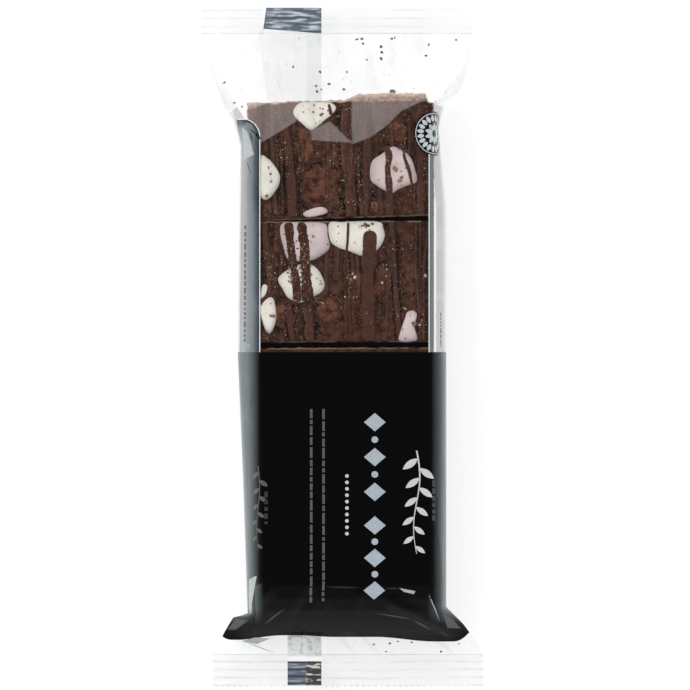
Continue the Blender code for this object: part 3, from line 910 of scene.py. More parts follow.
class Value:
    """A node's output that can be used in sums, each of which adds one Math node."""

    def __init__(self, sheet: NodeSheet, socket: bpy.types.NodeSocket) -> None:
        """Keeps the output and the sheet that it is on."""
        self.sheet, self.socket = sheet, socket

    def apply(self, operation: str, *others: Value | float) -> Value:
        """The result of one sum on this value and others."""
        terms = dict(enumerate((self, *others)))
        return self.sheet.read("ShaderNodeMath", 0, terms, operation=operation)

    __add__ = partialmethod(apply, "ADD")
    __sub__ = partialmethod(apply, "SUBTRACT")
    __mul__ = partialmethod(apply, "MULTIPLY")
    __truediv__ = partialmethod(apply, "DIVIDE")
    __pow__ = partialmethod(apply, "POWER")
    __abs__ = partialmethod(apply, "ABSOLUTE")
    __lt__ = partialmethod(apply, "LESS_THAN")
    __gt__ = partialmethod(apply, "GREATER_THAN")
    at_least = partialmethod(apply, "MAXIMUM")
    at_most = partialmethod(apply, "MINIMUM")
    fraction = partialmethod(apply, "FRACT")
    times_plus = partialmethod(apply, "MULTIPLY_ADD")

    def __rsub__(self, whole: float) -> Value:
        """What is left of a number when this value is taken from it."""
        return self.sheet.read("ShaderNodeMath", 0, {0: whole, 1: self}, operation="SUBTRACT")

    def clamped(self) -> Value:
        """The same sum, kept from 0 to 1."""
        self.socket.node.use_clamp = True
        return self

    def steps(self, low: float, high: float, top: float = 1.0, kind: str = "LINEAR") -> Value:
        """This value stretched so that low becomes 0 and high becomes the top."""
        wanted = {0: self, 1: low, 2: high, 3: 0.0, 4: top}
        return self.sheet.read(
            "ShaderNodeMapRange", 0, wanted, clamp=True, interpolation_type=kind)


class NodeSheet:
    """Short ways to add and join nodes in a material's tree, a group or a geometry tree."""

    def __init__(self, tree: bpy.types.NodeTree) -> None:
        """Keeps the tree that nodes are added to."""
        self.tree = tree

    @cached_property
    def place(self) -> Value:
        """Place on the object, in metres."""
        return self.read("ShaderNodeTexCoord", "Object")

    def join(self, node: bpy.types.Node, inputs: dict) -> None:
        """Fills a node's inputs.

        Args:
            node: The node.
            inputs: Plain values, or outputs to link, by the input's name or number.
        """
        for key, value in inputs.items():
            value = value.socket if isinstance(value, Value) else value
            if isinstance(value, bpy.types.NodeSocket):
                self.tree.links.new(value, node.inputs[key])
            else:
                node.inputs[key].default_value = value

    def add(self, kind: str, inputs: dict | None = None, **settings: object) -> bpy.types.Node:
        """Adds a node.

        Args:
            kind: The node's type name.
            inputs: Its inputs, as join takes them.
            settings: Its own settings.

        Returns:
            The node.
        """
        node = self.tree.nodes.new(kind)
        for key, value in settings.items():
            setattr(node, key, value)
        self.join(node, inputs or {})
        return node

    def read(
        self, kind: str, output: int | str = 0, inputs: dict | None = None, **settings: object
    ) -> Value:
        """Adds a node, as add does, and gives the named or numbered one of its outputs."""
        return Value(self, self.add(kind, inputs, **settings).outputs[output])

    def split(self, place: Value) -> list[Value]:
        """The three parts of a place."""
        node = self.add("ShaderNodeSeparateXYZ", {0: place})
        return [Value(self, part) for part in node.outputs]

    def mask(self, name: str) -> Value:
        """A number that the mesh keeps for each of its points."""
        return self.read("ShaderNodeAttribute", "Fac", attribute_name=name)

    def mix(self, share: Value, a: Value | tuple, b: Value | tuple) -> Value:
        """A colour between two colours."""
        a, b = (colour if isinstance(colour, Value) else (*colour, 1.0) for colour in (a, b))
        return self.read("ShaderNodeMix", 2, {0: share, 6: a, 7: b}, data_type="RGBA")

    def noise(self, vector: Value, scale: float, detail: float = 3.0) -> Value:
        """A noise value from 0 to 1."""
        wanted = {"Vector": vector, "Scale": scale, "Detail": detail}
        return self.read("ShaderNodeTexNoise", 0, wanted)

    def streaks(self, place: Value, scale: Pair, detail: float, turn: float = 0.0) -> Value:
        """Noise drawn out to streaks, by a scale across and one along, and turned."""
        wanted = {"Vector": place, "Scale": (*scale, 1.0), "Rotation": (0.0, 0.0, turn)}
        return self.noise(self.read("ShaderNodeMapping", 0, wanted), 1.0, detail)

    def ramp(self, value: Value, stops: Sequence[tuple[float, tuple]]) -> Value:
        """A colour read off a ramp.

        Args:
            value: Where on the ramp to read.
            stops: The ramp's places and colours.

        Returns:
            The colour.
        """
        node = self.add("ShaderNodeValToRGB", {0: value})
        ramp = node.color_ramp
        while len(ramp.elements) < len(stops):
            ramp.elements.new(0.5)
        for element, (place, colour) in zip(ramp.elements, stops):
            element.position = place
            element.color = (*colour, 1.0)
        return Value(self, node.outputs[0])

    def speckle(self, scale: float, amount: float) -> list[Value]:
        """Specks and grain from the speckle group.

        Args:
            scale: How fine they are.
            amount: Share of the specks to keep.

        Returns:
            The specks, then the grain.
        """
        wanted = {"Scale": scale, "Amount": amount}
        node = self.add("ShaderNodeGroup", wanted, node_tree=speckle_group())
        return [Value(self, output) for output in node.outputs]

    def relief(self, strength: float, height: Value, distance: float = 0.0002) -> Value:
        """Low relief for a shader's Normal."""
        wanted = {"Strength": strength, "Distance": distance, "Height": height}
        return self.read("ShaderNodeBump", 0, wanted)

    def roughened(self, geometry: Value, scale: float, detail: float, amount: Value) -> Value:
        """A mesh in a geometry tree with its points moved at random.

        Args:
            geometry: The mesh.
            scale: Scale of the noise that moves them.
            detail: Its detail.
            amount: How far it moves them.

        Returns:
            The uneven mesh.
        """
        noise = {"Vector": self.read("GeometryNodeInputPosition"), "Scale": scale, "Detail": detail}
        colour = self.read("ShaderNodeTexNoise", "Color", noise)
        centred = self.read(
            "ShaderNodeVectorMath", 0, {0: colour, 1: (0.5, 0.5, 0.5)}, operation="SUBTRACT")
        offset = self.read(
            "ShaderNodeVectorMath", 0, {0: centred, "Scale": amount}, operation="SCALE")
        return self.read("GeometryNodeSetPosition", 0, {"Geometry": geometry, "Offset": offset})

    def close(self, geometry: Value, finish: Value) -> bpy.types.NodeTree:
        """Ends a geometry tree: plain mesh, its finish, and the output.

        Args:
            geometry: What the tree has made.
            finish: Its material.

        Returns:
            The tree.
        """
        real = self.read("GeometryNodeRealizeInstances", 0, {"Geometry": geometry})
        dressed = self.read("GeometryNodeSetMaterial", 0, {"Geometry": real, "Material": finish})
        self.add("NodeGroupOutput", {"Geometry": dressed})
        return self.tree


class Finish(NodeSheet):
    """A material's sheet, with its one shader."""

    def __init__(self, name: str) -> None:
        """Makes a fresh material of this name.

        Args:
            name: The material's name.
        """
        self.material = bpy.data.materials.new(name)
        self.material.use_nodes = True
        super().__init__(self.material.node_tree)

    def dressed(self, inputs: dict) -> Material:
        """Fills the shader's inputs and gives the material."""
        self.join(self.tree.nodes["Principled BSDF"], inputs)
        return self.material


def new_group(name: str, kind: str, sides: Sequence[str]) -> tuple[NodeSheet, dict[str, Value]]:
    """A fresh node group with named sockets.

    Args:
        name: Its name.
        kind: The type of its tree.
        sides: Each socket's name, type and direction, apart by slashes.

    Returns:
        A sheet to add its nodes with, and its inputs by name.
    """
    group = bpy.data.node_groups.new(name, kind)
    for side in sides:
        label, sort, way = side.split("/")
        group.interface.new_socket(label, in_out=way, socket_type=f"NodeSocket{sort}")
    sheet = NodeSheet(group)
    entry = sheet.add("NodeGroupInput")
    return sheet, {side.name: Value(sheet, side) for side in entry.outputs}


def dimmed(colour: tuple, share: float) -> tuple:
    """A colour times a share."""
    return tuple(part * share for part in colour)


@cache
def speckle_group() -> bpy.types.NodeTree:
    """The group for fine dust and specks, shared by the foods and the crumbs.

    Returns:
        The tree.
    """
    sheet, entry = new_group("Food speckle", "ShaderNodeTree", (
        "Scale/Float/INPUT", "Amount/Float/INPUT", "Specks/Float/OUTPUT", "Grain/Float/OUTPUT"))
    wanted = {"Vector": sheet.place, "Scale": entry["Scale"]}
    cells = sheet.add("ShaderNodeTexVoronoi", wanted)
    near = Value(sheet, cells.outputs["Distance"]) < 0.24
    chosen = sheet.read("ShaderNodeSeparateColor", 0, {0: cells.outputs["Color"]})
    specks = near * (chosen < entry["Amount"])
    grain = sheet.noise(sheet.place, 1400.0, 4.0)
    sheet.add("NodeGroupOutput", {"Specks": specks, "Grain": grain})
    return sheet.tree


@cache
def band_group() -> bpy.types.NodeTree:
    """The group that measures how far a place is outside a rectangle with round corners.

    Returns:
        The tree.
    """
    sheet, entry = new_group("Rounded field", "ShaderNodeTree", (
        "Place/Vector/INPUT", "Middle/Vector/INPUT", "Half Size/Vector/INPUT",
        "Radius/Float/INPUT", "Distance/Float/OUTPUT"))

    def vector(operation: str, a: Value, b: object = (0.0, 0.0, 0.0), out: str = "Vector") -> Value:
        """One vector sum."""
        return sheet.read("ShaderNodeVectorMath", out, {0: a, 1: b}, operation=operation)

    radius = entry["Radius"]
    away = vector("ABSOLUTE", vector("SUBTRACT", entry["Place"], entry["Middle"]))
    corner = sheet.read("ShaderNodeCombineXYZ", 0, {0: radius, 1: radius, 2: 0.0})
    away = vector("SUBTRACT", away, vector("SUBTRACT", entry["Half Size"], corner))
    outside = vector("LENGTH", vector("MAXIMUM", away), out="Value")
    x, y, _ = sheet.split(away)
    distance = outside + x.at_least(y).at_most(0.0) - radius
    sheet.add("NodeGroupOutput", {"Distance": distance})
    return sheet.tree


@dataclass(frozen=True)
class ChocolateFinish:
    """Chocolate cover with its strands, the biscuit that shows through, and the cut edge, with
    painted highlights along the strands and painted shade in furrows and pits.
    """

    name: str = "chocolate_cover"
    deep: tuple = (0.030, 0.0105, 0.0065)
    plain: tuple = (0.084, 0.0330, 0.0210)
    strand: tuple = (0.083, 0.036, 0.0240)
    biscuit: tuple = (0.185, 0.074, 0.042)
    painted_pit_shade: tuple = (0.004, 0.002, 0.0016)
    painted_glint: tuple = (0.24, 0.125, 0.085)
    speck: tuple = (0.40, 0.29, 0.21)
    cut: tuple = (0.27, 0.175, 0.125)
    crust: tuple = (0.46, 0.34, 0.25)
    rind: tuple = (0.62, 0.47, 0.33)
    roughness: float = 0.42
    mottle_scale: float = 420.0
    crumb_scale: float = 900.0
    chunk_scale: float = 150.0

    def material(self) -> Material:
        """Builds the finish, which reads the masks kept on the mesh.

        Returns:
            The material.
        """
        sheet = Finish(self.name)
        place, mask = sheet.place, sheet.mask
        fine, grain = sheet.speckle(1150.0, 0.10)
        coarse, _ = sheet.speckle(1700.0, 0.5)
        mottled = sheet.noise(place, self.mottle_scale, 5.0).steps(0.36, 0.64)
        base = sheet.mix(mottled, self.deep, self.plain)
        shown = sheet.noise(place, self.mottle_scale, 4.0).steps(0.32, 0.68)
        base = sheet.mix((mask("biscuit") * shown).clamped(), base, self.biscuit)
        base = sheet.mix(mask("strand") * 0.75, base, self.strand)
        crumbly = mask("crumbly")
        base = sheet.mix(crumbly * 0.45, base, self.deep)
        # painted shade: furrows, pits and biscuit rims drawn nearly black
        base = sheet.mix(mask("groove"), base, self.painted_pit_shade)
        # painted highlight: the pale lines along the strands' edges
        base = sheet.mix(mask("painted_glint") * 0.55, base, self.painted_glint)
        crumb = sheet.ramp(sheet.noise(place, self.crumb_scale, 4.0), (
            (0.30, dimmed(self.cut, 0.3)), (0.50, self.cut), (0.68, self.crust)))
        rind = (mask("rind") * mottled.steps(-0.4, 0.8)).clamped()
        crumb = sheet.mix(rind, crumb, self.rind)
        base = sheet.mix(mask("cut"), base, crumb)
        chunks = sheet.noise(place, self.chunk_scale, 3.0).steps(0.53, 0.56)
        base = sheet.mix(mask("wall"), base, sheet.mix(chunks, base, crumb))
        light = (coarse * crumbly + fine * 0.35).clamped()
        base = sheet.mix(light * 0.8, base, self.speck)
        return sheet.dressed({
            "Base Color": base, "Roughness": grain * 0.3 + (self.roughness - 0.1),
            "Normal": sheet.relief(0.6, grain), "Specular IOR Level": 0.2})


@dataclass(frozen=True)
class MarshmallowFinish:
    """Marshmallow: a soft matt foam, dusty, with a few brown marks and painted shade towards its
    rim.
    """

    slot: Slot
    colour: tuple
    painted_shade: tuple
    mark: tuple = (0.17, 0.085, 0.05)

    def material(self) -> Material:
        """Builds the finish, with painted shade towards the rim that the mesh keeps.

        Returns:
            The material.
        """
        sheet = Finish(self.slot.value)
        specks, grain = sheet.speckle(620.0, 0.07)
        tone = sheet.noise(sheet.place, 160.0, 3.0).steps(0.3, 0.7)
        base = sheet.mix(tone, self.painted_shade, self.colour)
        # painted shade towards the rim
        base = sheet.mix(sheet.mask("rim") * 0.62, base, dimmed(self.painted_shade, 0.52))
        base = sheet.mix(specks * 0.75, base, self.mark)
        return sheet.dressed({
            "Base Color": base, "Roughness": 0.85, "Normal": sheet.relief(0.35, grain),
            "Subsurface Weight": 0.12, "Subsurface Radius": (1.0, 0.8, 0.7),
            "Subsurface Scale": 0.0015})


@dataclass(frozen=True)
class CrumbFinish:
    """A crumb's colour, from dark to pale."""

    name: str
    dark: tuple
    pale: tuple

    def material(self) -> Material:
        """Builds the finish.

        Returns:
            The material.
        """
        sheet = Finish(self.name)
        tone = sheet.noise(sheet.place, 260.0, 4.0).steps(0.35, 0.65)
        grain = sheet.speckle(900.0, 0.3)[1]
        return sheet.dressed({
            "Base Color": sheet.mix(tone, self.dark, self.pale), "Roughness": 0.75,
            "Normal": sheet.relief(0.5, grain)})


@dataclass(frozen=True)
class FilmFinish:
    """Clear film with a black printed sleeve, smoky side bands and the window's pale lines, with
    painted sheen, glare and shade over them.
    """

    name: str = "pack_film"
    ink: tuple = (0.0030, 0.0030, 0.0033)
    # pale tone of the painted glare on the film facets beside the cake's end
    clear: tuple = (0.90, 0.92, 0.92)
    bloom_and_painted_glare: tuple = (0.88, 0.75, 0.73)
    pale: tuple = (0.70, 0.68, 0.64)
    # ramp darkest at the window line and paler outwards: painted shade by the cake's edge and
    # painted glare further out on the smoky print
    smoke_with_painted_glare: tuple = (
        (0.0, (0.018, 0.028, 0.038)), (0.20, (0.085, 0.100, 0.115)),
        (0.375, (0.185, 0.210, 0.225)), (0.61, (0.24, 0.265, 0.28)),
        (0.84, (0.27, 0.290, 0.30)), (1.0, (0.30, 0.315, 0.325)),
    )
    smoke_reach: float = 8.0
    right_smoke: tuple = (0.16, 0.185, 0.195)
    # painted sheen colours of the sleeve's left and right sides
    left_painted_sheen: tuple = (0.150, 0.175, 0.180)
    right_painted_sheen: tuple = (0.120, 0.138, 0.145)
    clear_cover: float = 0.004
    bloom_and_glare_cover: float = 0.15
    smoke_cover: float = 0.88
    window_left: float = -29.5
    window_right: float = 30.9
    strip: float = 2.0
    band_end: float = -40.6
    band_top: float = 81.6
    band_reach: float = 120.0
    half_turn: float = 220.0
    corner: float = 6.5
    back_height: float = 13.0
    back_middle: float = -0.4
    back_reach: float = 33.1
    back_beyond: float = 5.0
    sleeve_top: float = -2.2
    sleeve_end: float = -104.2
    sags: tuple = ((-22.0, -38.0, 1.7), (-16.0, -3.0, 0.6), (12.0, 33.0, 1.7))
    ear_start: float = 40.0
    ear_curve: float = 0.1
    line_width: float = 0.17
    line_reach: float = 40.0
    facet_shift: float = 3.2

    def band(self, sheet: NodeSheet, place: Value, low: float, high: float) -> Value:
        """Distance outside one printed band.

        Args:
            sheet: The finish's sheet.
            place: Place on the unrolled film.
            low: The band's left edge.
            high: Its right edge.

        Returns:
            The distance, below 0 inside the band.
        """
        middle = ((low + high) / 2 * MM, (self.band_top - self.band_reach) * MM, 0.0)
        half = ((high - low) / 2 * MM, self.band_reach * MM, 0.0)
        wanted = {"Place": place, "Middle": middle, "Half Size": half, "Radius": self.corner * MM}
        return sheet.read("ShaderNodeGroup", 0, wanted, node_tree=band_group())

    def inked(self, sheet: NodeSheet, along: Value) -> Value:
        """Where the film is black: the sleeve's print, and a patch on the back under the cake that
        darkens the gaps between the bars.

        Args:
            sheet: The finish's sheet.
            along: Place along the unrolled film.

        Returns:
            1 in the print and 0 outside it.
        """
        solid_x, _, height = sheet.split(sheet.place)
        outer = (abs(solid_x) - self.ear_start * MM).at_least(0.0)
        limit = outer ** 2.0 * (self.ear_curve / MM) + self.sleeve_end * MM
        for start, stop, drop in self.sags:
            limit = limit - solid_x.steps(start * MM, stop * MM, drop * MM, "SMOOTHSTEP")
        beside = abs(solid_x - self.back_middle * MM)
        under = (beside < self.back_reach * MM) * (height < self.back_height * MM)
        rise = self.band_top + self.back_beyond - self.sleeve_top
        top = under.times_plus(rise * MM, self.sleeve_top * MM)
        return (along < top) * (along > limit)

    def print_tone(self, sheet: NodeSheet, place: Value) -> Value:
        """The sleeve's colour: black on top, with a painted grey sheen where it turns down the
        sides, a painted reflection broken into facets lower down.

        Args:
            sheet: The finish's sheet.
            place: Place on the unrolled film.

        Returns:
            The colour.
        """
        across, along, _ = sheet.split(place)
        wanted = {"Vector": place, "Scale": (120.0, 42.0, 1.0), "Rotation": (0.0, 0.0, 0.35)}
        turned = sheet.read("ShaderNodeMapping", 0, wanted)
        cells = sheet.read("ShaderNodeTexVoronoi", "Color", {"Vector": turned, "Scale": 1.0})
        facet = sheet.read("ShaderNodeSeparateColor", 0, {0: cells})
        crumpled = along.steps(-45 * MM, -92 * MM)
        shift = (facet - 0.5) * (self.facet_shift * MM) * crumpled
        tone = sheet.noise(place, 90.0, 2.0) * 0.3 + facet * 0.15 + 0.66
        tone = tone * along.steps(-100 * MM, -94 * MM)
        colour = self.ink
        # painted reflection: a grey sheen blended in towards each side, its edge broken into facets
        # low down
        for outward, start, full, side in (
            (shift - across, 29.8, 35.2, self.left_painted_sheen),
            (shift + across, 32.0, 39.0, self.right_painted_sheen),
        ):
            sheen = outward.steps(start * MM, full * MM) * tone
            sheen = sheen * outward.steps(47 * MM, 42 * MM)
            colour = sheet.mix(sheen, colour, side)
        return colour

    def empty_ends(self, sheet: NodeSheet, place: Value, along: Value) -> Value:
        """How much the slack film of the two empty ends covers: a thin veil with streaks.

        Args:
            sheet: The finish's sheet.
            place: Place on the unrolled film.
            along: Place along it.

        Returns:
            The share that it covers.
        """
        ends = along.steps(90 * MM, 93 * MM).at_least(along < -103 * MM)
        streaks = sheet.streaks(place, (210.0, 65.0), 4.0, 0.25).steps(0.52, 0.70)
        return ends * (streaks * 0.17 + 0.055)

    def material(self) -> Material:
        """Builds the finish on the unrolled film's own map.

        Returns:
            The material.
        """
        sheet = Finish(self.name)
        place = sheet.read("ShaderNodeUVMap", uv_map="Unrolled")
        across, along, _ = sheet.split(place)
        left = self.band(sheet, place, -self.half_turn, self.window_left)
        right = self.band(sheet, place, self.window_right, self.half_turn)
        nearest = left.at_most(right)
        above = along > self.sleeve_top * MM
        inked = self.inked(sheet, along)
        banded = (nearest < 0.0) * (across < (self.window_right + self.strip) * MM)
        banded = banded * (across > self.band_end * MM) * above
        drift = sheet.noise(sheet.place, 55.0, 3.0).steps(0.3, 0.7)
        # painted shade and glare: the ramp is read by distance inside the band from the window line
        inset = left * (-1 / (self.smoke_reach * MM)) + (drift * 0.16 - 0.08)
        smoke_with_painted_glare = sheet.mix(across > 0.0, sheet.ramp(inset, self.smoke_with_painted_glare), self.right_smoke)
        line = self.line_width * MM
        lined = (abs(nearest + line) < line) * above * (abs(across) < self.line_reach * MM)
        # painted glare: a pale veil over the film facets that stand clear of the cake's end, where
        # light would reflect off them
        haze_and_painted_glare = sheet.mask("bloom_and_painted_glare")
        base = sheet.mix(haze_and_painted_glare, self.clear, self.bloom_and_painted_glare)
        base = sheet.mix(banded, base, smoke_with_painted_glare)
        base = sheet.mix(inked, base, self.print_tone(sheet, place))
        base = sheet.mix(lined, base, self.pale)
        edge = sheet.read("ShaderNodeLayerWeight", "Fresnel", {"Blend": 0.30})
        cover = (edge * 0.42 - 0.015).at_least(0.0) + self.clear_cover
        cover = cover + self.empty_ends(sheet, place, along)
        creases = sheet.streaks(place, (260.0, 50.0), 3.0)
        veil = haze_and_painted_glare * ((creases + 0.5) * self.bloom_and_glare_cover)
        cover = (cover + (veil + banded * self.smoke_cover)).clamped()
        solid = inked.at_least(lined)
        outer = abs(across).steps(30 * MM, 36 * MM)
        waves = sheet.noise(sheet.place, 60.0, 2.0) + creases * (outer * 2.5)
        bare = (1.0 - solid.at_least(banded)) * (1.0 - haze_and_painted_glare)
        slanting = (edge.steps(0.045, 0.16) + 0.15).clamped()
        return sheet.dressed({
            "Base Color": base, "Alpha": cover.at_least(solid), "Metallic": bare * slanting,
            "Normal": sheet.relief(0.16, waves, 0.0006), "Roughness": 0.16,
            "Specular IOR Level": inked.at_least(banded) * -0.38 + 0.5})


@dataclass(frozen=True)
class SealFinish:
    """The pressed double film of the end seals: clear with fine pressed lines."""

    name: str = "seal_film"
    pitch: float = 2.9
    line_share: float = 0.22
    flap_top: float = -28.4
    flap_low: float = -19.8
    flap_right: float = -7.6
    grey: tuple = (0.70, 0.72, 0.73)
    clear: tuple = (0.84, 0.85, 0.86)
    line: tuple = (0.45, 0.47, 0.48)

    def material(self) -> Material:
        """Builds the finish.

        Returns:
            The material.
        """
        sheet = Finish(self.name)
        place = sheet.place
        across, along, _ = sheet.split(place)
        wander = sheet.noise(place, 30.0, 2.0) * 0.5
        turns = abs((along / (self.pitch * MM) + wander).fraction() - 0.5)
        broken = sheet.noise(place, 75.0, 3.0).steps(0.36, 0.62)
        pressed = turns.steps(0.5 - self.line_share, 0.5) * broken
        tone = sheet.noise(place, 90.0, 3.0).steps(0.3, 0.7)
        base = sheet.mix(pressed, sheet.mix(tone, self.grey, self.clear), self.line)
        edge = sheet.read("ShaderNodeLayerWeight", "Fresnel", {"Blend": 0.3})
        strength = along.steps(0.0, -0.1) * 0.09 + 0.04
        cover = (edge * 0.6 + pressed * strength + 0.11).clamped()
        start = (along > 0.0).times_plus((self.flap_top - self.flap_low) * MM, self.flap_low * MM)
        on_flap = (across > start) - (across > self.flap_right * MM)
        return sheet.dressed({
            "Base Color": base, "Alpha": cover * (on_flap * -0.8 + 1.0), "Metallic": 0.15,
            "Roughness": 0.25})


@dataclass(frozen=True)
class FlapFinish:
    """The back seam's flap: nearly clear, smudged low down, and dark where a seal holds it, with
    painted silvery highlights over the dark.
    """

    name: str = "seam_flap"
    form: PackForm = field(default_factory=PackForm)
    rib_pitch: float = 2.5
    thin: tuple = (0.50, 0.53, 0.55)
    blue: tuple = (0.095, 0.125, 0.165)
    silver: tuple = (0.58, 0.64, 0.70)
    black: tuple = (0.020, 0.021, 0.024)
    tan: tuple = (0.66, 0.62, 0.57)
    rib: tuple = (0.012, 0.016, 0.024)

    def material(self) -> Material:
        """Builds the finish.

        Returns:
            The material.
        """
        sheet = Finish(self.name)
        place = sheet.place
        across, along, _ = sheet.split(place)
        top, bottom = self.form.top_seal[0], self.form.bottom_seal[0]
        lower = along < (bottom - 2.3) * MM
        pressed = (along > across.times_plus(-0.083, (top - 0.85) * MM)).at_least(lower)
        right = across.steps(-0.0135, -0.0125)
        # painted highlight: pale silvery streaks over the dark blue of the sealed flap
        tone = sheet.streaks(place, (150.0, 800.0), 3.0).steps(0.47, 0.64)
        dark = sheet.mix(tone * along.steps(-0.3, 0.1), self.blue, self.silver)
        spots = sheet.streaks(place, (260.0, 1000.0), 2.0).steps(0.50, 0.58)
        dark = sheet.mix(right * lower, dark, sheet.mix(spots, self.black, self.tan))
        rib = abs((along / (self.rib_pitch * MM)).fraction() - 0.36)
        dark = sheet.mix(rib.steps(0.20, 0.08) * along.steps(0.3, -0.1), dark, self.rib)
        creased = sheet.noise(place, 500.0, 5.0).steps(0.5, 0.62)
        smudge = (along < -0.09) * (creased * 0.20 + 0.12)
        gap = along < (bottom - 0.6) * MM
        cover = (smudge + right * 0.06 + 0.07) * (1.0 - gap)
        return sheet.dressed({
            "Base Color": sheet.mix(pressed, self.thin, dark), "Roughness": 0.35,
            "Alpha": cover.at_least(pressed * 0.97)})


@dataclass(frozen=True)
class MarkFinish:
    """One ink of the sleeve's marks; some inks are print, some painted sheen and shade."""

    name: str
    colour: tuple

    def material(self) -> Material:
        """Builds the finish: ink under the gloss of the film.

        Returns:
            The material.
        """
        sheet = Finish(self.name)
        tone = sheet.noise(sheet.place, 700.0, 3.0).steps(0.2, 0.8)
        base = sheet.mix(tone, dimmed(self.colour, 0.8), self.colour)
        return sheet.dressed({"Base Color": base, "Roughness": 0.2})


